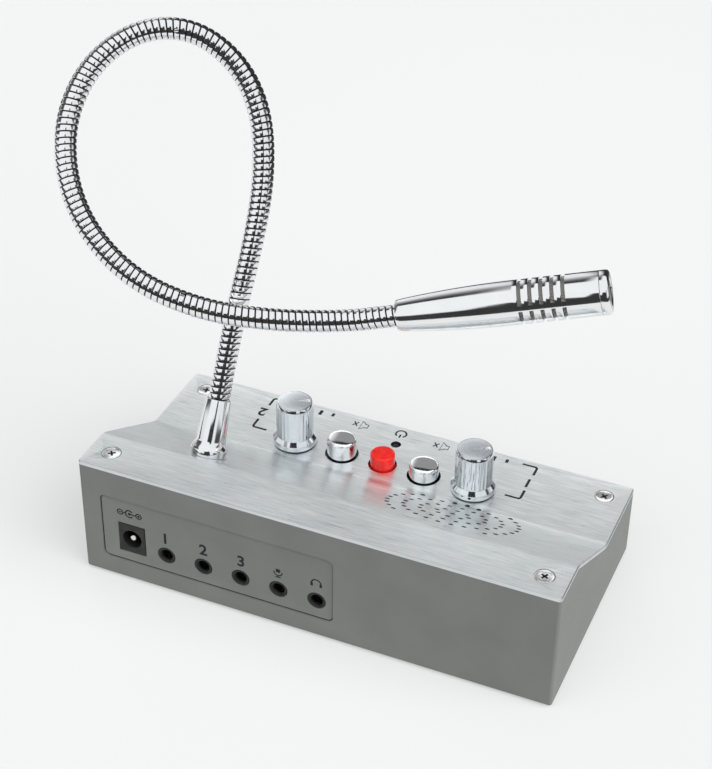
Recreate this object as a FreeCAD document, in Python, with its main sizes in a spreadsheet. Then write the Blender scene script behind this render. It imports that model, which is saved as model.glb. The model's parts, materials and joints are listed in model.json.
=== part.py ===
import FreeCAD, Part
import Sketcher
import math
import os
from FreeCAD import Placement, Rotation, Vector

# Desk intercom: a wedge housing with a bent top plate, two knobs, three buttons, a speaker, a row of
# sockets and a gooseneck microphone. Millimetres, +Z up. X runs along the length, the sockets face -Y
# and the operator sits at +Y. The origin is on the table, under the middle of the housing.

driving = {
    # housing
    "housingLength": 155.0,
    "housingDepth": 78.0,
    "lowDeckHeight": 25.5,       # top of the plate at the operator's side, from the table
    "highDeckDepth": 16.0,       # flat strip of the plate over the sockets
    "slopeRun": 32.0,            # horizontal run of the sloping strip
    "slopeAngle": 28.5,
    "bendRadius": 5.0,
    "wallThickness": 2.2,
    "cornerRadius": 1.0,
    "bottomEdgeRadius": 0.6,
    "postWidth": 11.5,           # corner posts that take the screws, from the outer face
    "postHole": 1.3,             # radius
    "screwInset": 7.6,
    # top plate
    "plateThickness": 1.2,
    "plateEdgeBreak": 0.25,
    "screwHeadRadius": 3.0,
    "screwHeadDepth": 1.0,
    "screwShaftRadius": 1.45,
    "screwLength": 9.0,
    "screwClearance": 0.1,
    "screwCrossWidth": 0.75,
    "screwCrossSpan": 3.2,
    "screwCrossDepth": 0.7,
    # bottom cover and feet
    "coverThickness": 2.0,
    "coverClearance": 0.2,
    "footStand": 1.0,            # how far the feet hold the housing off the table
    "footSink": 1.0,             # how far each foot sits in the cover
    "footRadius": 5.0,
    "footInset": 17.0,
    # socket panel
    "panelInset": 6.75,          # from the -X end of the housing
    "panelWidth": 78.5,
    "panelHeight": 24.3,
    "panelMiddle": 20.0,         # height of its middle over the table
    "panelSink": 0.5,
    "panelCorner": 1.9,
    "inletInset": 10.25,         # its middle, from the panel's edge
    "inletWidth": 9.0,
    "inletHeight": 11.0,
    "inletDepth": 14.0,
    "inletBore": 3.2,
    "inletBoreDepth": 9.5,
    "inletPinRadius": 1.05,
    "inletGap": 0.25,
    "inletToJack": 11.9,
    "jackPitch": 12.7,
    "jackAxisHeight": 14.5,
    "jackSnoutRadius": 2.95,
    "jackSnoutGap": 0.12,
    "jackBore": 1.8,
    "jackBoreDepth": 13.0,
    "jackBodyWidth": 8.0,
    "jackBodyDepth": 12.0,
    "jackBodyHeight": 6.0,
    # boards
    "boardThickness": 1.6,
    "boardPostRadius": 2.5,
    "boardPostHole": 1.2,
    "boardScrewHead": 2.4,
    "boardScrewShaft": 1.1,
    "boardScrewLength": 5.0,
    "boardScrewHeadHeight": 1.5,
    "boardInset": 4.0,           # post centre from the board's edge
    "boardGap": 0.4,             # from the corner posts of the housing
    "mainBoardWidth": 86.0,
    "mainBoardDepth": 40.0,
    "mainBoardGap": 1.0,         # from the inside of the socket wall
    "mainBoardFrontPosts": 15.5, # these stand behind the sockets
    "controlBoardWidth": 96.0,
    "controlBoardFront": 8.5,    # from the row of controls
    "controlBoardGap": 5.3,      # from the inside of the operator's wall
    "controlBoardTop": 16.6,
    # on the main board
    "chipAcross": 17.0,          # from the middle of the board
    "chipBack": 8.0,
    "chipWidth": 16.0,
    "chipThickness": 4.0,
    "chipHeight": 9.0,
    "sinkWidth": 24.0,
    "sinkPlate": 2.0,
    "sinkHeight": 13.0,
    "sinkFin": 1.2,
    "sinkFinDepth": 5.0,
    "canRadius": 4.0,
    "canHeight": 11.0,
    "canGap": 1.5,
    "ribbonWidth": 14.0,
    "ribbonThickness": 0.6,
    "ribbonLap": 2.5,            # how far it runs under the control board
    "leadRadius": 0.9,
    # controls
    "controlRowPart": 0.3,       # part of the way over the operator's strip of the plate
    "buttonPitch": 14.2,
    "muteCapRadius": 4.8,
    "muteCapRise": 6.2,          # rim of the released cap over the plate
    "muteCapEdge": 1.0,          # its rounded edge
    "muteCapDome": 0.27,
    "powerCapRadius": 4.0,
    "powerCapRise": 4.6,
    "powerCapEdge": 0.6,
    "capGap": 0.65,              # round each cap
    "capFlange": 1.0,            # how far its flange reaches past the hole
    "capFlangeThickness": 1.0,
    "capRestGap": 0.3,           # flange to plate when released
    "capTravel": 1.5,
    "plungerRadius": 1.5,
    "plungerSocketDepth": 3.0,
    "switchSize": 7.0,
    "switchHeight": 3.4,
    "switchFloor": 0.5,
    "runningGap": 0.08,
    "knobSpacing": 30.8,
    "knobRadius": 6.0,
    "knobTopRadius": 5.6,
    "knobBevel": 1.0,
    "knobSkirtRadius": 7.1,
    "knobSkirtRim": 1.7,
    "knobSkirtFlare": 1.5,
    "knobHeight": 15.4,
    "knobLift": 0.45,
    "knobFlutes": 40.0,
    "knobFluteDepth": 0.18,
    "knobPointerRadius": 3.55,
    "knobPointerAngle": 28.0,
    "knobPointerDot": 0.45,
    "knobPointerDepth": 0.3,
    "knobBoreDepth": 9.0,
    "knobUndercut": 1.2,
    "potSize": 9.6,
    "potHeight": 5.2,
    "potShaftRadius": 3.0,
    "potHoleGap": 0.6,
    "ledRadius": 1.5,
    "ledHoleRadius": 1.7,
    "ledRowPart": 0.68,
    "ledSink": 0.4,
    # speaker
    "speakerCentre": 32.3,
    "speakerDrop": 18.5,         # its middle, from the upper bend, measured level
    "speakerLength": 46.0,
    "speakerWidth": 31.0,
    "grilleStep": 5.13,          # from each ring of holes to the next
    "grilleHoleRadius": 0.8,
    "grilleLimit": 15.3,         # holes of the outer ring lie within this of the long axis
    "clothThickness": 0.3,
    "gasketThickness": 1.0,
    "gasketWidth": 2.5,
    "basketFlange": 1.2,
    "basketDepth": 7.0,
    "basketWall": 0.8,
    "basketTaper": 7.5,
    "coneWall": 0.5,
    "coneHubRadius": 5.0,
    "magnetRadius": 9.0,
    "magnetHeight": 6.0,
    # gooseneck
    "neckInset": 32.5,           # from the -X end of the housing
    "neckDrop": 7.5,             # from the upper bend, measured level
    "neckRadius": 3.4,
    "neckBore": 2.3,
    "neckLeadRadius": 1.4,
    "neckGap": 1.1,              # between two lengths of the neck, where they bend
    "neckEndBreak": 0.7,
    "neckBallRadius": 2.1,       # on the end of each lead, in the mouth of the next length
    "neckBallGap": 0.3,
    "neckFirstBend": 25.0,       # along the sleeve's axis, from the plate
    "neckFootStart": 4.0,
    "sleeveHeight": 18.0,
    "sleeveTopRadius": 3.85,
    "sleeveWaistRadius": 4.7,
    "sleeveFootRadius": 5.9,
    "sleeveFootHeight": 2.4,
    "sleeveFlare": 2.8,
    "sleeveFit": 0.05,
    "stemRadius": 4.6,           # threaded tail through the plate
    "stemLength": 7.0,
    "stemHoleGap": 0.2,
    "washerRadius": 7.0,
    "washerThickness": 1.0,
    "nutAcross": 13.0,
    "nutHeight": 3.5,
    # microphone head, its back face from the foot of the neck
    "micRight": 51.8,
    "micNear": 25.5,
    "micUp": 50.4,
    "micLength": 63.3,
    "micBackRadius": 4.6,
    "micShoulderRadius": 4.85,
    "micShoulder": 1.2,
    "micRadius": 6.65,
    "micTaper": 35.0,
    "micBore": 5.7,
    "micBoreBack": 28.0,
    "micTailLength": 10.0,
    "micTailFit": 0.05,
    "micRunUp": 17.0,            # straight stretch of the neck before the head
    "micBendBack": 5.0,          # last bend, from the head's back face
    "slotFirst": 37.2,
    "slotPitch": 3.2,
    "slotWidth": 1.2,
    "slotLand": 14.0,            # degrees of metal between two slots of a ring
    "slotTurn": -12.0,           # degrees that the rings of slots are turned about the head
    "ringLength": 2.8,
    "ringSpigot": 3.0,
    "ringBore": 3.8,
    "ringEdge": 0.9,
    "meshThickness": 0.35,
    "meshReach": 1.2,            # past the middle of the first and last slots
    "capsuleRadius": 3.6,
    "capsuleLength": 5.0,
    "holderLength": 6.0,
    "holderFloor": 1.0,
}


class Size:
    """A length or angle with the formula that gives it, so that sketches and features stay bound to the sheet."""

    def __init__(self, value, text):
        self.value = value
        self.text = text

    def __add__(self, other):
        other = size(other)
        return Size(self.value + other.value, "(%s + %s)" % (self.text, other.text))

    def __sub__(self, other):
        other = size(other)
        return Size(self.value - other.value, "(%s - %s)" % (self.text, other.text))

    def __mul__(self, other):
        other = size(other)
        return Size(self.value * other.value, "(%s * %s)" % (self.text, other.text))

    def __truediv__(self, other):
        other = size(other)
        return Size(self.value / other.value, "(%s / %s)" % (self.text, other.text))

    def __neg__(self):
        return Size(-self.value, "(-1 * %s)" % self.text)

    def __radd__(self, other):
        return size(other) + self

    def __rsub__(self, other):
        return size(other) - self

    def __rmul__(self, other):
        return size(other) * self


def size(number):
    """Wrap a plain number, and pass a Size through."""
    return number if isinstance(number, Size) else Size(float(number), "(%.9g)" % number)


def sine(angle):
    return Size(math.sin(math.radians(angle.value)), "sin(%s)" % angle.text)


def cosine(angle):
    return Size(math.cos(math.radians(angle.value)), "cos(%s)" % angle.text)


def tangent(angle):
    return Size(math.tan(math.radians(angle.value)), "tan(%s)" % angle.text)


class Sheet:
    """The driving dimensions, as cells of a spreadsheet and as Size values of the same names."""

    def __init__(self, document, values):
        self.cells = document.addObject("Spreadsheet::Sheet", "Sizes")
        for row, (name, value) in enumerate(values.items(), start=1):
            self.cells.set("A%d" % row, name)
            self.cells.set("B%d" % row, "%.9g" % value)
            self.cells.setAlias("B%d" % row, name)
            setattr(self, name, Size(value, "Sizes.%s" % name))


doc = FreeCAD.newDocument("Intercom")
d = Sheet(doc, driving)
doc.recompute()
subparts = []


# ---- sizes that follow from the driving ones ----

halfLength = d.housingLength / 2
halfDepth = d.housingDepth / 2
highDeckHeight = d.lowDeckHeight + d.slopeRun * tangent(d.slopeAngle)
upperBend = d.highDeckDepth - halfDepth
lowerBend = upperBend + d.slopeRun
coverTop = d.footStand + d.coverThickness
lowDeckUnderside = d.lowDeckHeight - d.plateThickness
innerSocketWall = d.wallThickness - halfDepth
boardTop = d.jackAxisHeight - d.jackBodyHeight / 2
muteHoleRadius = d.muteCapRadius + d.capGap
powerHoleRadius = d.powerCapRadius + d.capGap
potHoleRadius = d.potShaftRadius + d.potHoleGap
stemHoleRadius = d.stemRadius + d.stemHoleGap
capFlangeTop = lowDeckUnderside - d.capRestGap
capFlangeBottom = capFlangeTop - d.capFlangeThickness
switchTop = d.controlBoardTop + d.switchHeight
plungerBottom = d.controlBoardTop + d.switchFloor + d.capTravel
knobBottom = d.lowDeckHeight + d.knobLift
screwX = halfLength - d.screwInset
screwY = halfDepth - d.screwInset
panelEdge = d.panelInset - halfLength
panelX = panelEdge + d.panelWidth / 2
inletX = panelEdge + d.inletInset
controlRow = lowerBend + (halfDepth - lowerBend) * d.controlRowPart
ledRow = lowerBend + (halfDepth - lowerBend) * d.ledRowPart
speakerRow = upperBend + d.speakerDrop
neckX = d.neckInset - halfLength
neckY = upperBend + d.neckDrop
slope = d.slopeAngle.value
sides = (("left", -1), ("right", 1))


def onSlope(y):
    """Height of the plate's top face over y, on the sloping strip."""
    return highDeckHeight - (y - upperBend) * tangent(d.slopeAngle)


slopeTurn = Rotation(Vector(1, 0, 0), -slope)
neckBaseZ = onSlope(neckY)
speakerZ = onSlope(speakerRow)


def jackX(number):
    return inletX + d.inletToJack + d.jackPitch * number



# ---- helpers for bodies, sketches and features ----

def bind(item, name, value):
    value = size(value)
    item.setExpression(name, value.text)


def newBody(label):
    item = doc.addObject("PartDesign::Body", label)
    item.Label = label
    return item


def finish(item, label):
    """Register an object as a sub-part of the assembly."""
    item.Label = label
    subparts.append(item)
    return item


def moveTo(item, x=0, y=0, z=0, turn=None):
    item.Placement = Placement(Vector(size(x).value, size(y).value, size(z).value), turn or Rotation())
    for axis, value in (("x", x), ("y", y), ("z", z)):
        bind(item, "Placement.Base." + axis, value)
    return item


def newSketch(body, name, role="XY_Plane", offset=0, at=(0, 0), turn=None):
    """A sketch on one of the body's origin planes, moved along and off that plane."""
    item = body.newObject("Sketcher::SketchObject", name)
    plane = next(f for f in body.Origin.OriginFeatures if f.Role == role)
    item.AttachmentSupport = (plane, [""])
    item.MapMode = "FlatFace"
    place = (at[0], at[1], offset)
    item.AttachmentOffset = Placement(Vector(*[size(v).value for v in place]), turn or Rotation())
    for axis, value in zip("xyz", place):
        bind(item, "AttachmentOffset.Base." + axis, value)
    return item


def fixPoint(item, edge, corner, u, v):
    for kind, value in (("DistanceX", size(u)), ("DistanceY", size(v))):
        index = item.addConstraint(Sketcher.Constraint(kind, -1, 1, edge, corner, value.value))
        item.setExpression("Constraints[%d]" % index, value.text)


def polygon(item, points):
    """Closed outline through points, each given as two Sizes."""
    first = item.GeometryCount
    count = len(points)
    flat = [Vector(size(u).value, size(v).value, 0) for u, v in points]
    for i in range(count):
        item.addGeometry(Part.LineSegment(flat[i], flat[(i + 1) % count]), False)
    for i in range(count):
        item.addConstraint(Sketcher.Constraint("Coincident", first + i, 2, first + (i + 1) % count, 1))
    for i, (u, v) in enumerate(points):
        fixPoint(item, first + i, 1, u, v)


def rectangle(item, u, v, width, height):
    """Rectangle about its middle."""
    w, h = size(width) / 2, size(height) / 2
    polygon(item, [(u - w, v - h), (u + w, v - h), (u + w, v + h), (u - w, v + h)])


def circle(item, u, v, radius):
    radius = size(radius)
    index = item.addGeometry(Part.Circle(Vector(size(u).value, size(v).value, 0), Vector(0, 0, 1), radius.value), False)
    fixPoint(item, index, 3, u, v)
    number = item.addConstraint(Sketcher.Constraint("Radius", index, radius.value))
    item.setExpression("Constraints[%d]" % number, radius.text)


def pad(body, profile, length, midplane=False, reverse=False):
    item = body.newObject("PartDesign::Pad", profile.Name + "Pad")
    item.Profile = profile
    bind(item, "Length", length)
    item.Midplane = midplane
    item.Reversed = reverse
    return item


def pocket(body, profile, length=None, midplane=False, reverse=False):
    """A pocket of the given length, or through everything."""
    item = body.newObject("PartDesign::Pocket", profile.Name + "Pocket")
    item.Profile = profile
    item.Midplane = midplane
    item.Reversed = reverse
    if length is None:
        item.Type = "ThroughAll"
    else:
        bind(item, "Length", length)
    return item


def spin(body, points, label):
    """Solid of revolution about the body's Z axis, from (radius, height) points."""
    profile = newSketch(body, label + "Profile", "XZ_Plane")
    polygon(profile, points)
    item = body.newObject("PartDesign::Revolution", label + "Spin")
    item.Profile = profile
    item.ReferenceAxis = (profile, ["V_Axis"])
    item.Angle = 360
    return item


def ringOf(body, feature, count):
    """Repeat a feature round the normal of its own sketch."""
    item = body.newObject("PartDesign::PolarPattern", feature.Name + "Ring")
    item.Originals = [feature]
    item.Axis = (feature.Profile[0], ["N_Axis"])
    item.Angle = 360
    if isinstance(count, Size):
        bind(item, "Occurrences", count)
    else:
        item.Occurrences = count
    body.Tip = item
    return item


def dress(body, kind, feature, name, value, wanted):
    """Fillet or chamfer the edges of a feature that the test picks."""
    doc.recompute()
    names = ["Edge%d" % i for i, edge in enumerate(feature.Shape.Edges, start=1) if wanted(edge)]
    if not names:
        raise ValueError("no edges to dress on " + body.Label)
    item = body.newObject("PartDesign::" + kind, name)
    item.Base = (feature, names)
    bind(item, "Radius" if kind == "Fillet" else "Size", value)
    return item


def straight(edge, axis):
    """The edge's ends, if it is a straight edge along the axis."""
    if edge.Curve.TypeId != "Part::GeomLine":
        return None
    a, b = (vertex.Point for vertex in edge.Vertexes)
    return (a, b) if (b - a).normalize().cross(axis).Length < 1e-6 else None


def near(value, wanted, tolerance=1e-3):
    return abs(value - wanted) < tolerance


def isBend(edge):
    """The four edges where the deck's strips meet, in the plate or in the shell."""
    ends = straight(edge, Vector(1, 0, 0))
    if not ends:
        return False
    return any(near(ends[0].y, row.value, 1.0) for row in (upperBend, lowerBend)) and ends[0].z > coverTop.value


def isOuterCorner(edge):
    ends = straight(edge, Vector(0, 0, 1))
    return bool(ends) and near(abs(ends[0].x), halfLength.value) and near(abs(ends[0].y), halfDepth.value)


def isTopRim(edge):
    """An edge of the plate's top face that runs round its outside."""
    middle = edge.valueAt((edge.FirstParameter + edge.LastParameter) / 2)
    step = min(max(middle.y - upperBend.value, 0), d.slopeRun.value)
    top = highDeckHeight.value - step * math.tan(math.radians(slope))
    outside = abs(middle.x) > (halfLength - d.cornerRadius).value or abs(middle.y) > (halfDepth - d.cornerRadius).value
    return outside and middle.z > top - d.plateThickness.value / 2 and not isOuterCorner(edge)


def deckLine(drop):
    """The deck's outline from the socket side to the operator's, moved down square to its face."""
    drop = size(drop)
    shift = drop * tangent(d.slopeAngle / 2)
    return [(-halfDepth, highDeckHeight - drop), (upperBend - shift, highDeckHeight - drop),
            (lowerBend - shift, d.lowDeckHeight - drop), (halfDepth, d.lowDeckHeight - drop)]


def cylinder(name, radius, height, x=0, y=0, z=0, turn=None):
    item = doc.addObject("Part::Cylinder", name)
    bind(item, "Radius", radius)
    bind(item, "Height", height)
    return moveTo(item, x, y, z, turn)


def block(name, width, depth, height, x, y, z):
    """Box about the middle of its base."""
    item = doc.addObject("Part::Box", name)
    bind(item, "Length", width)
    bind(item, "Width", depth)
    bind(item, "Height", height)
    return moveTo(item, x - size(width) / 2, y - size(depth) / 2, z)


def cut(name, base, tools):
    """The base with each tool cut out of it."""
    for index, tool in enumerate(tools):
        item = doc.addObject("Part::Cut", "%s%d" % (name, index))
        item.Base = base
        item.Tool = tool
        base = item
    return base


def fuse(name, items):
    item = doc.addObject("Part::MultiFuse", name)
    item.Shapes = items
    return item


def group(name, items):
    """Separate solids kept side by side in one sub-part."""
    item = doc.addObject("Part::Compound", name)
    item.Links = items
    return item


def solidFeature(label, shape, place=None):
    """A sub-part whose shape is worked out in code."""
    item = doc.addObject("Part::Feature", label)
    item.Shape = shape
    if place:
        item.Placement = place
    return finish(item, label)


towardSockets = Rotation(Vector(1, 0, 0), 90)      # turns +Z to -Y


# ---- housing shell: a wedge tube with a post in each corner, open above and below ----

def makeShell():
    body = newBody("housing_shell")
    side = newSketch(body, "shellSide", "YZ_Plane")
    deck = deckLine(d.plateThickness)
    polygon(side, [(halfDepth, d.footStand), deck[3], deck[2], deck[1], deck[0], (-halfDepth, d.footStand)])
    shell = pad(body, side, d.housingLength, midplane=True)
    shell = dress(body, "Fillet", shell, "shellUpperBend", d.bendRadius,
                  lambda e: isBend(e) and near(e.Vertexes[0].Y, upperBend.value, 1.0))
    shell = dress(body, "Fillet", shell, "shellLowerBend", d.bendRadius + d.plateThickness,
                  lambda e: isBend(e) and near(e.Vertexes[0].Y, lowerBend.value, 1.0))
    shell = dress(body, "Fillet", shell, "shellCorners", d.cornerRadius, isOuterCorner)
    shell = dress(body, "Fillet", shell, "shellBottomEdge", d.bottomEdgeRadius,
                  lambda e: all(near(v.Z, d.footStand.value) for v in e.Vertexes))
    innerX, innerY = halfLength - d.wallThickness, halfDepth - d.wallThickness
    postX, postY = halfLength - d.postWidth, halfDepth - d.postWidth
    hollow = newSketch(body, "shellHollow")
    polygon(hollow, [(-innerX, -postY), (-postX, -postY), (-postX, -innerY), (postX, -innerY),
                     (postX, -postY), (innerX, -postY), (innerX, postY), (postX, postY),
                     (postX, innerY), (-postX, innerY), (-postX, postY), (-innerX, postY)])
    pocket(body, hollow, midplane=True)
    rebate = newSketch(body, "shellRebate", offset=coverTop)
    rectangle(rebate, 0, 0, innerX * 2, innerY * 2)
    pocket(body, rebate, d.coverThickness + d.footStand)
    holes = newSketch(body, "shellScrewHoles")
    for x in (-screwX, screwX):
        for y in (-screwY, screwY):
            circle(holes, x, y, d.postHole + d.screwClearance * 2)
    pocket(body, holes, midplane=True)
    # socket panel: a shallow recess, then the openings for the inlet and the jacks
    recess = newSketch(body, "panelRecess", "XZ_Plane", offset=halfDepth)
    rectangle(recess, panelX, d.panelMiddle, d.panelWidth, d.panelHeight)
    panel = pocket(body, recess, d.panelSink)
    floorY = d.panelSink - halfDepth
    panel = dress(body, "Fillet", panel, "panelCorners", d.panelCorner,
                  lambda e: bool(straight(e, Vector(0, 1, 0)))
                  and near(max(v.Y for v in e.Vertexes), floorY.value)
                  and near(abs(e.Vertexes[0].X - panelX.value), d.panelWidth.value / 2))
    openings = newSketch(body, "socketOpenings", "XZ_Plane", offset=halfDepth)
    rectangle(openings, inletX, boardTop + d.inletHeight / 2,
              d.inletWidth + d.inletGap * 2, d.inletHeight + d.inletGap * 2)
    for number in range(5):
        circle(openings, jackX(number), d.jackAxisHeight, d.jackSnoutRadius + d.jackSnoutGap)
    pocket(body, openings, d.wallThickness + d.panelSink)
    return finish(body, "housing_shell")


# ---- top plate: one bent sheet with every hole in it ----

def makePlate():
    body = newBody("top_plate")
    side = newSketch(body, "plateSide", "YZ_Plane")
    polygon(side, deckLine(0) + deckLine(d.plateThickness)[::-1])
    plate = pad(body, side, d.housingLength, midplane=True)
    outer, inner = d.bendRadius + d.plateThickness, d.bendRadius
    shift = d.plateThickness * tangent(d.slopeAngle / 2)
    for name, row, topRadius, underRadius in (("Upper", upperBend, outer, inner), ("Lower", lowerBend, inner, outer)):
        for place, y, radius in (("Top", row, topRadius), ("Under", row - shift, underRadius)):
            plate = dress(body, "Fillet", plate, "plate%sBend%s" % (name, place), radius,
                          lambda e: isBend(e) and near(e.Vertexes[0].Y, y.value))
    plate = dress(body, "Fillet", plate, "plateCorners", d.cornerRadius, isOuterCorner)
    dress(body, "Chamfer", plate, "plateRim", d.plateEdgeBreak, isTopRim)
    for name, y, height in (("front", -screwY, highDeckHeight), ("back", screwY, d.lowDeckHeight)):
        marks = newSketch(body, name + "ScrewMarks", offset=height)
        for x in (-screwX, screwX):
            circle(marks, x, y, d.screwShaftRadius + d.screwClearance * 2)
        doc.recompute()
        holes = body.newObject("PartDesign::Hole", name + "ScrewHoles")
        holes.Profile = marks
        holes.DepthType = "ThroughAll"
        holes.ThreadType = "None"
        holes.HoleCutType = "Countersink"
        bind(holes, "Diameter", (d.screwShaftRadius + d.screwClearance * 2) * 2)
        bind(holes, "HoleCutDiameter", (d.screwHeadRadius + d.screwClearance) * 2)
        holes.HoleCutCountersinkAngle = 90
    controls = newSketch(body, "controlHoles", offset=d.lowDeckHeight)
    for _, side in sides:
        circle(controls, d.buttonPitch * side, controlRow, muteHoleRadius)
        circle(controls, d.knobSpacing * side, controlRow, potHoleRadius)
    circle(controls, 0, controlRow, powerHoleRadius)
    circle(controls, 0, ledRow, d.ledHoleRadius)
    pocket(body, controls, d.plateThickness * 2)
    neckHole = newSketch(body, "neckHole", offset=neckBaseZ, at=(neckX, neckY), turn=slopeTurn)
    circle(neckHole, 0, 0, stemHoleRadius)
    pocket(body, neckHole, d.plateThickness * 4, midplane=True)
    grille = {"offset": speakerZ, "at": (d.speakerCentre, speakerRow), "turn": slopeTurn}
    centreHole = newSketch(body, "grilleCentre", **grille)
    circle(centreHole, 0, 0, d.grilleHoleRadius)
    pocket(body, centreHole, d.plateThickness * 3, midplane=True)
    for ring in (1, 2, 3):
        hole = newSketch(body, "grilleRing%d" % ring, **grille)
        circle(hole, d.grilleStep * ring, 0, d.grilleHoleRadius)
        ringOf(body, pocket(body, hole, d.plateThickness * 3, midplane=True), 8 * ring)
    outerRing = newSketch(body, "grilleRing4", **grille)
    for number in range(32):
        angle = size(360 * number / 32)
        u, v = d.grilleStep * 4 * cosine(angle), d.grilleStep * 4 * sine(angle)
        if abs(v.value) < d.grilleLimit.value:
            circle(outerRing, u, v, d.grilleHoleRadius)
    pocket(body, outerRing, d.plateThickness * 3, midplane=True)
    return finish(body, "top_plate")


# ---- countersunk screws: along -Z from the middle of the head's face ----

def makeScrew(name, length):
    body = newBody(name)
    spin(body, [(0, 0), (d.screwHeadRadius, 0), (d.screwHeadRadius - d.screwHeadDepth, -d.screwHeadDepth),
                (d.screwShaftRadius, -d.screwHeadDepth), (d.screwShaftRadius, -length), (0, -length)], name)
    cross = newSketch(body, name + "Cross")
    a, b = d.screwCrossSpan / 2, d.screwCrossWidth / 2
    polygon(cross, [(a, -b), (a, b), (b, b), (b, a), (-b, a), (-b, b),
                    (-a, b), (-a, -b), (-b, -b), (-b, -a), (b, -a), (b, -b)])
    pocket(body, cross, d.screwCrossDepth)
    return body


def makePlateScrews():
    screws = []
    for x in (-screwX, screwX):
        for y, height in ((-screwY, highDeckHeight), (screwY, d.lowDeckHeight)):
            screw = makeScrew("plateScrew%d" % len(screws), d.screwLength)
            screws.append(moveTo(screw, x, y, height - d.screwClearance / 2))
    return finish(group("plateScrews", screws), "plate_screws")


# ---- bottom cover, its screws and the feet ----

def coverPlaces():
    return [(x, y) for x in (-screwX, screwX) for y in (-screwY, screwY)]


def makeCover():
    body = newBody("bottom_cover")
    width = d.housingLength - (d.wallThickness + d.coverClearance) * 2
    depth = d.housingDepth - (d.wallThickness + d.coverClearance) * 2
    outline = newSketch(body, "coverOutline", offset=d.footStand)
    rectangle(outline, 0, 0, width, depth)
    pad(body, outline, d.coverThickness)
    feet = newSketch(body, "footSeats", offset=d.footStand)
    for x in (d.footInset - halfLength, halfLength - d.footInset):
        for y in (d.footInset - halfDepth, halfDepth - d.footInset):
            circle(feet, x, y, d.footRadius + d.coverClearance)
    pocket(body, feet, d.footSink, reverse=True)
    marks = newSketch(body, "coverScrewMarks", offset=d.footStand)
    for x, y in coverPlaces():
        circle(marks, x, y, d.screwShaftRadius + d.screwClearance * 2)
    pocket(body, marks, reverse=True)
    heads = newSketch(body, "coverScrewSeats", offset=d.footStand)
    for x, y in coverPlaces():
        circle(heads, x, y, d.screwHeadRadius + d.screwClearance)
    pocket(body, heads, d.screwHeadDepth + d.screwClearance, reverse=True)
    return finish(body, "bottom_cover")


def makeCoverScrews():
    screws = []
    upsideDown = Rotation(Vector(1, 0, 0), 180)
    for x, y in coverPlaces():
        screw = makeScrew("coverScrew%d" % len(screws), d.screwLength)
        screws.append(moveTo(screw, x, y, d.footStand + d.screwClearance / 2, upsideDown))
    return finish(group("coverScrews", screws), "cover_screws")


def makeFeet():
    feet = []
    for x in (d.footInset - halfLength, halfLength - d.footInset):
        for y in (d.footInset - halfDepth, halfDepth - d.footInset):
            feet.append(cylinder("foot%d" % len(feet), d.footRadius, d.footStand + d.footSink, x, y, 0))
    return finish(group("feet", feet), "rubber_feet")


# ---- boards on posts ----

def makeBoard(label, x, y, top, width, depth, frontPosts):
    """A board with a hole over each post, the posts under it and the screws through it."""
    reach = width / 2 - d.boardInset
    rows = (y - depth / 2 + frontPosts, y + depth / 2 - d.boardInset)
    places = [(x + reach * side, row) for side in (-1, 1) for row in rows]
    base = block(label + "Sheet", width, depth, d.boardThickness, x, y, top - d.boardThickness)
    drills, posts, screws = [], [], []
    underside = top - d.boardThickness
    shaftLength = d.boardScrewLength
    for number, (px, py) in enumerate(places):
        tag = "%s%d" % (label, number)
        drills.append(cylinder(tag + "Drill", d.boardScrewShaft + d.screwClearance, d.boardThickness * 3,
                               px, py, underside - d.boardThickness))
        post = cylinder(tag + "Post", d.boardPostRadius, underside - coverTop, px, py, coverTop)
        bore = cylinder(tag + "Bore", d.boardPostHole, shaftLength, px, py, underside - shaftLength)
        posts.append(cut(tag + "PostCut", post, [bore]))
        head = cylinder(tag + "Head", d.boardScrewHead, d.boardScrewHeadHeight, px, py, top)
        shaft = cylinder(tag + "Shaft", d.boardScrewShaft, shaftLength, px, py, top - shaftLength)
        screws.append(fuse(tag + "Screw", [head, shaft]))
    finish(cut(label + "Drilled", base, drills), label)
    finish(group(label + "Posts", posts), label + "_posts")
    finish(group(label + "Screws", screws), label + "_screws")


mainBoardX = d.mainBoardWidth / 2 + d.postWidth + d.boardGap - halfLength
mainBoardY = innerSocketWall + d.mainBoardGap + d.mainBoardDepth / 2
controlBoardFront = controlRow - d.controlBoardFront
controlBoardBack = halfDepth - d.wallThickness - d.controlBoardGap


def makeBoards():
    makeBoard("main_board", mainBoardX, mainBoardY, boardTop,
              d.mainBoardWidth, d.mainBoardDepth, d.mainBoardFrontPosts)
    makeBoard("control_board", size(0), (controlBoardFront + controlBoardBack) / 2, d.controlBoardTop,
              d.controlBoardWidth, controlBoardBack - controlBoardFront, d.boardInset)


# ---- sockets: the inlet with its pin, and the five jacks ----

def makeInlet():
    face = d.panelSink - halfDepth
    x, z = inletX, boardTop + d.inletHeight / 2
    case = block("inletCase", d.inletWidth, d.inletDepth, d.inletHeight, x, face + d.inletDepth / 2, boardTop)
    bore = cylinder("inletBoreTool", d.inletBore, d.inletBoreDepth, x, face + d.inletBoreDepth, z, towardSockets)
    seat = cylinder("inletPinSeat", d.inletPinRadius, d.inletDepth, x, face + d.inletDepth, z, towardSockets)
    finish(cut("inletShape", case, [bore, seat]), "dc_inlet")
    length = d.inletDepth - d.panelSink
    finish(cylinder("inletPin", d.inletPinRadius, length, x, face + d.inletDepth, z, towardSockets), "dc_inlet_pin")


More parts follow.
